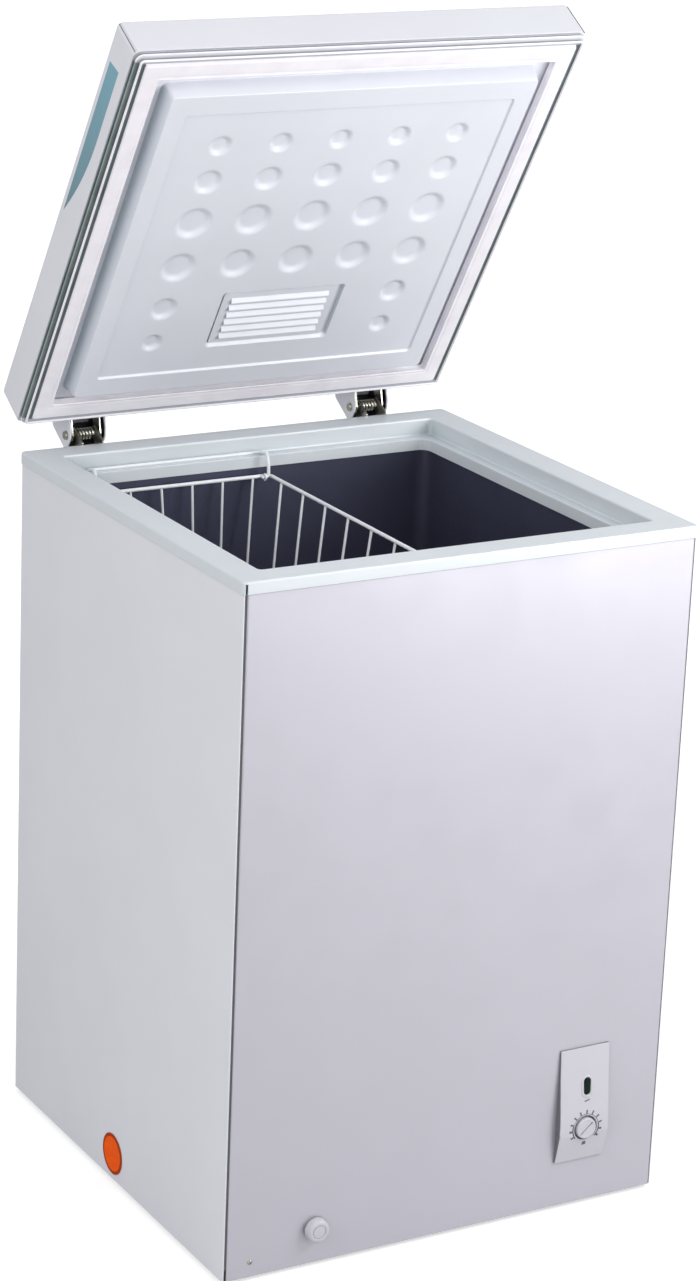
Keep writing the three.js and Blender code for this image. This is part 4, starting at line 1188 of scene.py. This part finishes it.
def drain_cap():
    """Round cap with a fine groove round the middle of its face."""
    r = CAP.w / 2
    inner = 7.9  # radius of the groove
    profile = [
        (0, 5.6), (9.1, 5.6), (9.35, 5.3), (9.35, 0), (r - 0.5, 0), (r, 0.7), (r, 1.6),
        (r - 0.25, 4.6), (r - 0.5, 7.4), (r - 0.9, 8.6), (r - 1.9, 9.5), (r - 3.2, 9.9),
        (r - 4, 10), (inner + 0.55, 10),
        (inner + 0.1, 9.75), (inner - 0.05, 9.1), (inner - 0.5, 9.1), (inner - 0.7, 9.75),
        (inner - 1.2, 10), (0, 10),
    ]
    shape = turned(profile, (CAP.x, CAP.y1, CAP.z), "y", 72)
    piece("drain_cover", "panel_plastic", shape, body="drain_cap", nodes=["drain_cap"])


def drain_outlet():
    """Flanged spout through the front panel, with two snap beads for the cap."""
    r = 9
    profile = [
        (r - 2, -40), (r, -40), (r, 0), (11, 0), (11.4, 0.4), (11.4, 1.6), (11, 2), (r, 2),
        (r, 3), (r + 0.25, 3.4), (r, 3.8), (r, 5), (r + 0.25, 5.4), (r, 5.8), (r, 6.6),
        (r - 0.4, 7), (r - 2, 7),
    ]
    shape = turned(profile, (OUTLET.x, FRONT_Y - GAP, OUTLET.z), "y", 56, closed=True)
    piece("drain_spout", "white_plastic", shape, nodes=["drain_outlet"])


def drain_tube():
    """Elbow from the outlet's spigot to the tank's floor."""
    start = FRONT_Y + 40.25
    path = [(OUTLET.x, start, OUTLET.z), (PLUG.x, PLUG.y, OUTLET.z), (PLUG.x, PLUG.y, LINER.z0 - 1)]
    shape = tube(bend(path, 9, 8), 8.5, 24)
    piece("drain_elbow", "white_plastic", shape, nodes=["drain_tube"])


def drain_plug():
    """Stepped plug in the tank's floor, with a knob to pull it by."""
    floor = LINER.z0 + TANK_WALL
    profile = [
        (0, -1.5), (7.2, -1.5), (7.6, -1), (8, GAP), (11, GAP), (11.5, 0.8), (11.4, 1.9),
        (10.8, 2.4), (5, 3.1), (4.2, 3.8), (4, 5), (4, 8.6), (4.6, 9.8), (5.4, 10.8), (5.5, 12.4),
        (5, 13.2), (3, 13.5), (0, 13.5),
    ]
    shape = turned(profile, (PLUG.x, PLUG.y, floor))
    piece("tank_plug", "white_plastic", shape, body="drain_plug", nodes=["drain_plug"])


def label():
    """Round film label with a slightly lower rim."""
    r = LABEL.d / 2
    profile = [
        (0, 0), (r - 3.2, 0), (r - 2.9, 0), (r - 2.6, 0.1), (r - 0.3, 0.1), (r, 0.25),
        (r, LABEL.w), (0, LABEL.w),
    ]
    shape = turned(profile, (LABEL.x0, LABEL.y, LABEL.z), "x", 96)
    piece("round_sticker", "orange_label", shape, nodes=["round_label"])


# ---- lid, drawn closed
LID_R = 6
LIP = 23  # width of the lip turned in under the skirt
FIELD_DROP = 2.5  # the field lies this far behind the plateau's face


def lid_shell():
    """Painted shell: rounded top edge, skirt, turned-in lip, and an open seam at each front corner,
    backed by a grey strip of painted shade.
    """
    w, d, low, top = SHELL.w, SHELL.d, SHELL.z0, SHELL.z1 - 0.15
    rings = []
    for i in range(6):
        a = i / 5 * TAU / 4
        inset = 3 * (1 - math.sin(a))
        z = top - 3 * (1 - math.cos(a))
        rings.append(ring(w - 2 * inset, d - 2 * inset, LID_R - inset * 0.5, z, steps=8))
    for inset, up in ((0, 1.1), (0.3, 0.35), (1.1, 0), (LIP, 0), (LIP + 0.3, 0.4), (LIP, 0.8)):
        r = LID_R - inset if inset < 2 else 3
        rings.append(ring(w - 2 * inset, d - 2 * inset, r, low + up, steps=8))
    rings.append(ring(w - 1.6, d - 1.6, LID_R - SHEET, low + 0.8, steps=8))
    rings.append(ring(w - 1.6, d - 1.6, LID_R - SHEET, top - 3, steps=8))
    rings.append(ring(w - 6, d - 6, 3, top - 0.8, steps=8))
    obj = solid("lid_cover", loft(rings))
    slots, fillers = [], []
    mid = LID_R * (1 - math.sqrt(0.5))
    for side in (-1, 1):
        at = Matrix.Translation((side * (SHELL.x1 - mid), SHELL.y0 + mid, 0))
        turn = at @ Matrix.Rotation(math.radians(-side * 45), 4, "Z")
        slots.append(moved(block(-0.6, -2, low - 1, 0.6, 0.62, top - 2.2), turn))
        # painted shade: grey strip at the back of each corner slot, standing in for its shaded inside
        fillers.append(moved(block(-0.58, 0.3, low + 0.2, 0.58, 0.75, top - 2.4), turn))
    cut(obj, *slots)
    dress(obj, "lid_paint", "lid", ["lid_shell"])
    piece("lid_corner_seams", "seam", *fillers, body="lid")


def decal():
    """Plain wedge on the lid's left skirt, drawn to a point towards the hinges."""
    top, low = SHELL.z0 + 38.5, SHELL.z0 + 16.3
    start, end = SHELL.y0 + 46, SHELL.y0 + 254
    outline = [(start, top), (start - 3, low)]
    for i in range(17):
        t = i / 16
        y = start + 96 + (end - start - 96) * t
        outline.append((y, low + (top - low) * (0.1 * t + 0.9 * t * t)))
    shape = prism(outline, SHELL.x0 - 0.18, SHELL.x0 + 0.1, "yz")
    piece("skirt_wedge", "decal", shape, body="lid")


PITCH = 74  # between the columns of dimples
ALL = (-2, -1, 0, 1, 2)
OUTER = (-2, 2)
ROWS = [  # round dimples in the lid's field: place along the lid, radius, columns
    (-147.8, 12, ALL), (-96.3, 15, ALL), (-36.3, 20, ALL), (29.8, 19, ALL), (92.8, 14.5, OUTER),
    (145.3, 11, OUTER),
]
DIMPLE_SPREAD = 1.15  # the soft rim reaches this far, in radii
DIMPLES = [(i * PITCH, y, r * DIMPLE_SPREAD) for y, r, columns in ROWS for i in columns]
DIMPLE_DEEP = 4.0
DIMPLE_SLOPE = 0.38  # part of a dimple's radius that slopes
STEP = 2.0  # grid spacing of the field
GRID = (190, 180)  # cells
WELL = (LOUVRE.x + 1.5, LOUVRE.y, LOUVRE.w / 2 + 3.5, LOUVRE.d / 2 + 1.5)  # middle, half sizes
WELL_DEEP = 4.5
WELL_R = 5
WELL_SLOPE = 2.4


def smoothstep(t):
    """0 below 0, 1 above 1, and a smooth S between."""
    t = min(max(t, 0.0), 1.0)
    return t * t * (3 - 2 * t)


def relief(x, y):
    """How deep the field is sunk at a point: dimples, and the recess for the louvred cover."""
    deep = 0.0
    for cx, cy, r in DIMPLES:
        away = math.hypot(x - cx, y - cy)
        if away < r:
            deep = DIMPLE_DEEP * smoothstep((r - away) / (DIMPLE_SLOPE * r))
    cx, cy, half_w, half_d = WELL
    qx, qy = abs(x - cx) - half_w + WELL_R, abs(y - cy) - half_d + WELL_R
    inside = WELL_R - math.hypot(max(qx, 0), max(qy, 0)) - min(max(qx, qy), 0)
    return max(deep, WELL_DEEP * smoothstep(inside / WELL_SLOPE))


def boundary():
    """The grid's boundary nodes as (column, row), once round."""
    nx, ny = GRID
    nodes = [(i, 0) for i in range(nx)] + [(nx, j) for j in range(ny)]
    return nodes + [(nx - i, ny) for i in range(nx)] + [(0, ny - j) for j in range(ny)]


def border(w, d, r):
    """The grid's boundary nodes laid round a rounded rectangle."""
    nx, ny = GRID
    points = []
    for i, j in boundary():
        sx, sy = 2 * i / nx - 1, 2 * j / ny - 1
        flat = j in (0, ny)
        along, half, across, other = (sx, w / 2, sy, d / 2) if flat else (sy, d / 2, sx, w / 2)
        a, b = along * half, across * other
        if abs(a) > half - r and r > 0:
            turn = (abs(a) - (half - r)) / r * TAU / 8
            a = math.copysign(half - r + r * math.sin(turn), a)
            b = math.copysign(other - r + r * math.cos(turn), b)
        points.append((a, b) if flat else (b, a))
    return points


def lid_mould():
    """Formed inner sheet: flange, sloping plateau wall, border, and the sunk, dimpled field."""
    back, face = MOULD.z1, MOULD.z0
    flange = back - 1.6
    field = face + FIELD_DROP
    outer, foot, crown, rim = (524, 511.5), (467, 455), (454, 443), (411, 391)
    sections = [  # size, inset, corner radius, height
        (outer, 0, 5, back), (outer, 0, 5, flange + 0.5), (outer, 1, 4.6, flange),
        (foot, 0, 9.5, flange), (foot, 1.4, 9, flange - 0.4), (foot, 2.4, 8.6, flange - 1.4),
        (crown, 0, 6, face + 1.3), (crown, 0.4, 5.8, face + 0.7), (crown, 1.2, 5.4, face + 0.2),
        (crown, 2.4, 4.8, face), ((447, 437), 0, 3.4, face), (rim, 0, 4.6, face),
        (rim, 1, 4.2, face + 0.2), (rim, 1.8, 3.9, face + 0.8), (rim, 3.6, 3.4, field - 0.7),
        (rim, 4.4, 3.1, field - 0.2), (rim, 5.6, 2.8, field), (rim, 13, 1.8, field),
        (rim, 20, 1, field), (rim, 26, 0.4, field), (rim, 31, 0, field),
    ]
    rings = [
        [(x, y, z) for x, y in border(w - inset, d - inset, r)]
        for (w, d), inset, r, z in sections
    ]
    points, faces = loft(rings)
    faces.pop()  # the grid closes this end
    nx, ny = GRID
    edge = (len(rings) - 1) * len(rings[0])
    index = {node: edge + i for i, node in enumerate(boundary())}
    for i in range(1, nx):
        for j in range(1, ny):
            x, y = (i - nx / 2) * STEP, (j - ny / 2) * STEP
            index[i, j] = len(points)
            points.append((x, y, field + relief(x, y)))
    for i in range(nx):
        for j in range(ny):
            faces.append((index[i, j], index[i + 1, j], index[i + 1, j + 1], index[i, j + 1]))
    dress(solid("lid_mould", (points, faces)), "lid_plastic", "lid", ["lid_liner"], smooth=50)


def lid_louvre():
    """Slatted cover in the field's recess."""
    field = MOULD.z0 + FIELD_DROP
    b = LOUVRE
    shapes = [plate(b.w - 3, b.d - 3, 3, field + 2.6, field + 4.2, 0.4, (b.x, b.y), "xy")]
    count, pitch = 6, 11
    for i in range(count):
        y = b.y + (i - count / 2) * pitch + 1.6
        outline = bend([
            (y, field + 3.2), (y + 5.4, field - 0.7), (y + 7.4, field - 0.7), (y + 7.8, field + 3.2),
        ], 0.8, 3)
        x = b.w / 2 - 12
        shapes.append(prism([tuple(p) for p in outline], b.x - x, b.x + x, "yz"))
    piece("louvre_cover", "lid_plastic", *shapes, body="lid", nodes=["lid_louvre"])


def lid_gasket():
    """Bellows seal: a foot over the lid's lip, one fold, a grooved magnetic face, an inner web.

    Its section is drawn as (distance in from the seal's outer edge, depth under the lid's rim).
    """
    w, d, wide = SEAL.w, SEAL.d, 28
    top = SHELL.z0
    outer = [
        (1.0, 0.35), (-3.0, 0.35), (-3.5, 0.7), (-3.5, 1.3), (-3.0, 1.7), (1.8, 2.0), (2.2, 2.4),
        (1.8, 2.8), (-2.4, 3.1), (-3.2, 3.7), (-3.3, 4.5), (-2.6, 5.3), (2.4, 5.8), (3.2, 6.6),
        (2.6, 7.6), (0.9, 8.3), (0.1, 8.9), (0, 9.8), (0.3, 10.5), (1.1, 10.95),
    ]
    face = [
        (1.9, 10.9), (2.6, 10.2), (3.0, 8.6), (4.4, 8.2), (6.6, 8.2), (7.4, 8.8), (7.9, 10.2),
        (8.6, 10.9), (9.4, 11), (21.5, 11), (23, 10.6), (24.2, 10.1), (25.6, 10.5),
    ]
    inner = [
        (wide - 1.1, 10.95), (wide - 0.3, 10.5), (wide, 9.8), (wide - 0.3, 8.6), (wide - 1.4, 6.5),
        (wide - 1.4, 3.5), (wide - 0.6, 1.6), (wide - 0.6, 0.8), (wide - 1.2, 0.35),
    ]
    rings = []
    for inset, deep in outer + face + inner:
        r = max(5 - inset, 2.5)
        rings.append(ring(w - 2 * inset, d - 2 * inset, r, top - deep))
    piece("bellows_seal", "gasket", loft(rings, True), body="lid", nodes=["lid_gasket"])


# ---- hinges
AXIS_Y = PIVOT.y / MM
AXIS_Z = PIVOT.z / MM
PIN_R = 3
ARM_T = 1.6  # sheet of the channel and the lever
ARM_LOW = SHELL.z0 + 4  # their lower end on the lid's skirt
RIVET_R = 2.6
HINGE_X = 188  # each hinge's distance from the middle


def loop(points, radius):
    """A closed outline with its corners rounded, as 2-D points."""
    return [tuple(p) for p in bend(points, radius, closed=True)]


def arc(cy, cz, r, a0, a1, steps=12):
    """Points on an arc, from one angle in degrees to another."""
    turns = [math.radians(a0 + (a1 - a0) * i / steps) for i in range(steps + 1)]
    return [(cy + r * math.cos(a), cz + r * math.sin(a)) for a in turns]


def rivet(x, y, z):
    """A domed rivet head that points along +Y."""
    dome = [(RIVET_R * math.cos(a), 1.2 * math.sin(a)) for a in (0, 0.35, 0.7, 1.05, 1.35)]
    head = turned([(0, -0.6), (RIVET_R, -0.6)] + dome + [(0, 1.2)], (0, 0, 0), "z", 20)
    return moved(head, Matrix.Translation((x, y, z)) @ Matrix.Rotation(-TAU / 4, 4, "X"))


def hinge_hole(x):
    """The pin's bore through everything on a hinge's axis."""
    return turned([(PIN_R + GAP, -32), (PIN_R + GAP, 32)], (x, AXIS_Y, AXIS_Z), "x", 32)


def hinge_channel(side, x, arm):
    """Painted channel: two cheeks, a web round their back, and the plate on the lid's skirt."""
    half, t, low = arm.w / 2, ARM_T, ARM_LOW
    y, back, high = arm.y0, arm.y1, arm.z1
    flank = loop([
        (y, low), (AXIS_Y - 14, AXIS_Z - 5), (AXIS_Y - 4, AXIS_Z - 10), (AXIS_Y + 9, AXIS_Z - 10),
        (back, AXIS_Z - 5), (back, high - 12), (back - 14, high), (y, high),
    ], 2.6)
    obj = solid(
        f"hinge_channel_{side}",
        *[prism(flank, a, a + t, "yz") for a in (x - half, x + half - t)],
    )
    corners = [(back - 20, high), (back - 14, high), (back, high - 12), (back, AXIS_Z - 5)]
    web = strip(bend(corners, 2.6)[::-1], t)
    cut(obj, prism(web, x - half + 0.2, x + half - 0.2, "yz"), operation="UNION")
    fixing = plate(arm.w - 0.4, high - low, 2, y, y + t, 0.3, (x, (low + high) / 2), "xz")
    cut(obj, fixing, operation="UNION")
    cut(obj, hinge_hole(x))
    dress(obj, "cabinet_paint", "lid", ["hinge_arm_" + side])


def hinge_shade_lining(side, x, arm):
    """Black sheet lining the channel's web and cheeks: painted shade for the channel's enclosed
    inside.
    """
    t, low = ARM_T, ARM_LOW
    y, back, high = arm.y0, arm.y1, arm.z1
    lining = strip([(back - t - 0.05, AXIS_Z - 4), (back - t - 0.05, high - 14)], 0.6)
    inside = arm.w / 2 - t - 0.05
    liner = [prism(lining, x - inside, x + inside, "yz")]
    cheek = loop([
        (y + t + 0.3, low + 3), (AXIS_Y - 12, AXIS_Z - 3.5), (AXIS_Y - 4, AXIS_Z - 8.5),
        (AXIS_Y + 9, AXIS_Z - 8.5), (back - t - 0.3, AXIS_Z - 4.5), (back - t - 0.3, high - 15),
        (y + t + 0.3, high - 6),
    ], 2)
    for a in (x - inside, x + inside - 0.5):
        liner.append(prism(cheek, a, a + 0.5, "yz"))
    obj = solid(f"hinge_lining_{side}", *liner)
    cut(obj, hinge_hole(x))
    dress(obj, "hinge_shade_black", "lid")


def hinge_lever(side, x, arm):
    """Plated lever inside the channel: two flanks round the pin, and a seat riveted to the lid."""
    t, low = ARM_T, ARM_LOW
    y, high = arm.y0, arm.z1
    eye = arc(AXIS_Y, AXIS_Z, 7.4, -150, 60)
    lever = eye + [(y + t + 6, high - 8), (y + t + 0.2, high - 8), (y + t + 0.2, low + 4)]
    parts = [prism(lever, a, a + t, "yz") for a in (x - 18.4, x + 16.8)]
    seat = plate(36.8, high - low - 10, 2, y + t, y + 2 * t, 0.3, (x, (low + high) / 2 + 1), "xz")
    obj = solid(f"hinge_lever_{side}", *parts)
    cut(obj, seat, operation="UNION")
    cut(obj, hinge_hole(x))
    dress(obj, "zinc_steel", "lid")
    heads = [rivet(x + dx, y + 2 * t, z) for dx in (-9, 9) for z in (low + 9, high - 9)]
    piece(f"hinge_rivets_{side}", "zinc_steel", *heads, body="lid")


def hinge_bracket(side, x):
    """Plate bolted to the cabinet's back, with two ears that hold the pin."""
    base = Box("hinge_base_" + side)
    foot_top = COLLAR.z1 - 16
    py = BACK_Y + GAP
    clear = COLLAR.y1 + 0.6  # the ears pass behind the collar
    mount = plate(40, foot_top - base.z0, 3, py, py + 2, 0.35, (x, (base.z0 + foot_top) / 2), "xz")
    obj = solid(f"hinge_bracket_{side}", mount)
    ear = [(py, foot_top - 34), (py, foot_top), (clear, foot_top), (clear, AXIS_Z - 4.1)]
    ear += arc(AXIS_Y, AXIS_Z, 8, 90, -90, 16)
    ears = [prism(ear, x + s * 13 - 1, x + s * 13 + 1, "yz") for s in (-1, 1)]
    cut(obj, *ears, operation="UNION")
    cut(obj, hinge_hole(x))
    dress(obj, "zinc_steel", stands_for=["hinge_base_" + side])
    places = [(x + dx, py + 2, base.z0 + up) for dx in (-9, 9) for up in (8, 26)]
    piece(f"hinge_bolts_{side}", "zinc_steel", *[screw(at, "-y", 3.2) for at in places])


def hinge_pin(side, x):
    """Headed pin, and the coil spring round it."""
    pin = Box("hinge_pin_" + side)
    q = pin.w / 2
    profile = [
        (0, -q), (4.4, -q), (5, -q + 0.6), (5.4, -q + 2), (PIN_R, -q + 2), (PIN_R, q - 2),
        (5.4, q - 2), (5, q - 0.6), (4.4, q), (0, q),
    ]
    shape = turned(profile, (x, AXIS_Y, AXIS_Z), "x", 32)
    piece(f"hinge_axle_{side}", "zinc_steel", shape, nodes=["hinge_pin_" + side])
    coil = []
    count = 90
    for i in range(count + 1):
        a = i / 20 * TAU
        coil.append((x - 9 + 18 * i / count, AXIS_Y + 5.6 * math.cos(a), AXIS_Z + 5.6 * math.sin(a)))
    shape = tube(coil, 1.4, 10)
    piece(f"hinge_coil_{side}", "zinc_steel", shape, nodes=["hinge_spring_" + side])


def hinge(side, x):
    """All the pieces of one hinge."""
    arm = Box("hinge_arm_" + side, closed=True)
    hinge_channel(side, x, arm)
    hinge_shade_lining(side, x, arm)
    hinge_lever(side, x, arm)
    hinge_bracket(side, x)
    hinge_pin(side, x)


# ---- basket
WIRE = 2.2  # radii of the rim, the lattices and the bails
GRID_WIRE = 1.5
BAIL_R = 2
TAPER = 24  # how far each side leans in towards the floor
DEEP = 190


def hoop(inset, z, r, radius, sides=12):
    """A closed wire loop round the basket at a height."""
    w, d = RIM.w - 2 * WIRE - 2 * inset, RIM.d - 2 * WIRE - 2 * inset
    path = ring(w, d, r, z, (RIM.x, RIM.y), steps=8)
    return tube(path, radius, sides, closed=True)


def bars(count, narrow, path_at):
    """Bent wires side by side; path_at turns a place from -1 to 1 into a wire's path."""
    places = [((i + 0.5) * 2 / count - 1) * narrow for i in range(count)]
    return [tube(bend(path_at(f), 7), GRID_WIRE, 10) for f in places]


def basket():
    """Rim, the U-shaped wires both ways, and two hoops low on the sides."""
    top, low = RIM.z, RIM.z - DEEP
    rim = hoop(0, top, 6.2, WIRE, 14)
    piece("basket_hoop", "coated_wire", rim, body="basket", nodes=["basket_rim"])
    w, d = RIM.w / 2 - WIRE, RIM.d / 2 - WIRE
    middle = RIM.x - 6  # the long wires stand off-centre

    def long_path(f):
        t, b = f * w, f * (w - TAPER)
        return [
            (middle + t, -d, top), (middle + b, -d + TAPER, low - 1.6),
            (middle + b, d - TAPER, low - 1.6), (middle + t, d, top),
        ]

    def cross_path(f):
        t, b = f * d, f * (d - TAPER)
        return [
            (RIM.x - w, t, top), (RIM.x - w + TAPER, b, low - 3.9),
            (RIM.x + w - TAPER, b, low - 3.9), (RIM.x + w, t, top),
        ]

    ends = ["basket_front_grid", "basket_back_grid"]
    rest = ["basket_left_grid", "basket_right_grid", "basket_floor_grid"]
    long_wires, cross_wires = bars(6, 1.03, long_path), bars(8, 0.99, cross_path)
    piece("basket_long_wires", "coated_wire", *long_wires, body="basket", nodes=ends)
    piece("basket_cross_wires", "coated_wire", *cross_wires, body="basket", nodes=rest)
    hoops = [
        hoop(TAPER * t - GRID_WIRE, top - DEEP * t, 6, GRID_WIRE * 0.95, 10) for t in (0.68, 0.93)
    ]
    piece("basket_hoops", "coated_wire", *hoops, body="basket")


def bails():
    """A wire bail at each end; its ends turn in and sit in small eyes welded to the basket's rim."""
    eyes = []
    for side, name in ((1, "back"), (-1, "front")):
        joint = JOINTS[f"bail_{name}_fold"]
        py, pz = joint["pos_m"][1] / MM, joint["pos_m"][2] / MM
        bar = Box(f"basket_bail_{name}")
        outer = side * (RIM.y1 - WIRE)
        hook = bar.z1 - 5 - BAIL_R
        inset = 2 * WIRE + BAIL_R + 0.6

        def leg(x, inward):
            return [
                (x + inward * 7, py, pz), (x, py, pz), (x, py, pz + 12), (x, outer, hook + 5),
                (x, outer + side * 20, hook),
            ]

        path = leg(RIM.x0 + inset, 1) + leg(RIM.x1 - inset, -1)[::-1]
        wire = tube(bend(path, 5, 6), BAIL_R, 14)
        body, node = f"bail_{name}", f"basket_bail_{name}"
        piece(f"bail_wire_{name}", "coated_wire", wire, body=body, nodes=[node])
        for x in (RIM.x0 + inset + 4.6, RIM.x1 - inset - 4.6):
            circle = [
                (x, py + 3.5 * math.cos(a / 16 * TAU), pz + 3.5 * math.sin(a / 16 * TAU))
                for a in range(16)
            ]
            eyes.append(tube(circle, 1.1, 8, closed=True))
    piece("basket_bail_eyes", "coated_wire", *eyes, body="basket")


# ---- all the pieces
front_panel()
collar_shadow_line()
side_panels()
side_grille()
rear_hatch()
cord_gland()
back_screws()
collar()
tank()
feet()
keep("back_panel", "cabinet_paint", 0.25)
keep("base_plate", "black_paint", 0.35)
keep("compressor_tray", "black_paint", 0.4)
keep("insulation_foam", "foam", 0)
keep("lid_foam", "foam", 0)
pipes()
compressor()
grommets()
relay_cover()
filter_drier()
control_panel()
scale_marks()
status_lens()
thermostat_knob()
thermostat_shaft()
keep("thermostat_body", "white_plastic", 1.2)
drain_cap()
drain_outlet()
drain_tube()
drain_plug()
label()
lid_shell()
decal()
lid_mould()
lid_louvre()
lid_gasket()
hinge("left", -HINGE_X)
hinge("right", HINGE_X)
basket()
bails()


# ---- studio


def floor():
    """A pale matt floor, whitened for the camera so that it runs into the white surroundings."""
    s = Surface("studio_floor", 0.8, Specular_IOR_Level=0.2)
    cloud = s.patches(3.0, 3.0, 0.3, 0.7)
    s.colour(s.mix(cloud, (0.58, 0.58, 0.585, 1), (0.6, 0.6, 0.605, 1)))
    s.bump(s.noise(400.0, 2.0), 0.05, 0.0002)
    away = s.add("ShaderNodeVectorMath", {0: s.place}, operation="LENGTH").outputs["Value"]
    s.shader.inputs["Emission Color"].default_value = (1, 1, 1, 1)
    glow = s.remap(away, 0.3, 1.5, 0.62, 0.85)
    seen = s.add("ShaderNodeLightPath").outputs["Is Camera Ray"]
    s.tree.links.new(s.times(glow, seen), s.shader.inputs["Emission Strength"])
    mesh = bpy.data.meshes.new("studio_floor")
    reach = 30.0  # half the floor's side, in metres
    mesh.from_pydata(
        [(-reach, -reach, 0), (reach, -reach, 0), (reach, reach, 0), (-reach, reach, 0)],
        [], [(0, 1, 2, 3)],
    )
    obj = bpy.data.objects.new("studio_floor", mesh)
    bpy.context.scene.collection.objects.link(obj)
    mesh.materials.append(s.material)


def studio_light(name, at, target, size, watts):
    """A soft rectangular light that the camera doesn't see."""
    lamp = bpy.data.lights.new(name, "AREA")
    lamp.shape = "RECTANGLE"
    lamp.size, lamp.size_y = size
    lamp.energy = watts
    obj = bpy.data.objects.new(name, lamp)
    obj.location = at
    aim = Vector(target) - Vector(at)
    obj.rotation_euler = aim.to_track_quat("-Z", "Y").to_euler()
    obj.visible_camera = False
    bpy.context.scene.collection.objects.link(obj)


SKY_LIGHT = 0.56


def surroundings():
    """White to the camera, a softer white to light the object."""
    world = bpy.data.worlds.new("studio")
    bpy.context.scene.world = world
    world.use_nodes = True
    nodes, links = world.node_tree.nodes, world.node_tree.links
    nodes.clear()
    seen = nodes.new("ShaderNodeBackground")
    seen.inputs["Strength"].default_value = 1.0
    seen.inputs["Color"].default_value = (1, 1, 1, 1)
    lit = nodes.new("ShaderNodeBackground")
    lit.inputs["Color"].default_value = (0.97, 0.98, 1.0, 1)
    lit.inputs["Strength"].default_value = SKY_LIGHT
    ray = nodes.new("ShaderNodeLightPath")
    both = nodes.new("ShaderNodeMixShader")
    out = nodes.new("ShaderNodeOutputWorld")
    links.new(ray.outputs["Is Camera Ray"], both.inputs[0])
    links.new(lit.outputs[0], both.inputs[1])
    links.new(seen.outputs[0], both.inputs[2])
    links.new(both.outputs[0], out.inputs[0])


CAMERA_TURN = (-30.188, 18.014, 2.387)  # azimuth, elevation and roll in degrees
CAMERA_AT = (-1.8765, -3.2350, 1.8344)
FOCAL = 98.06  # mm on a 36 mm sensor


def camera():
    """A view from the left of the front, a little above, slightly rolled."""
    azimuth, elevation, roll = (math.radians(v) for v in CAMERA_TURN)
    back = Vector((
        math.sin(azimuth) * math.cos(elevation), -math.cos(azimuth) * math.cos(elevation),
        math.sin(elevation),
    ))
    right = Vector((math.cos(azimuth), math.sin(azimuth), 0))
    up = back.cross(right)
    turned_right = right * math.cos(roll) + up * math.sin(roll)
    turned_up = up * math.cos(roll) - right * math.sin(roll)
    data = bpy.data.cameras.new("camera")
    data.lens = FOCAL
    data.sensor_width = 36
    obj = bpy.data.objects.new("camera", data)
    axes = Matrix((turned_right, turned_up, back)).transposed().to_4x4()
    obj.matrix_world = Matrix.Translation(CAMERA_AT) @ axes
    bpy.context.scene.collection.objects.link(obj)
    bpy.context.scene.camera = obj


floor()
surroundings()
studio_light("key", (0.85, -1.15, 1.2), (0, 0, 0.9), (0.8, 0.6), 13)
studio_light("top", (0.3, -0.8, 3.2), (0, 0, 0.7), (2.4, 2.4), 11)
studio_light("fill", (-2.2, -1.0, 1.6), (0, 0, 0.6), (1.5, 1.5), 22)
studio_light("low", (1.1, -2.0, 0.45), (0, 0, 0.9), (1.0, 0.6), 7)
camera()
bpy.context.scene.view_settings.view_transform = "Standard"
bpy.context.scene.view_settings.look = "None"

bpy.context.view_layer.update()
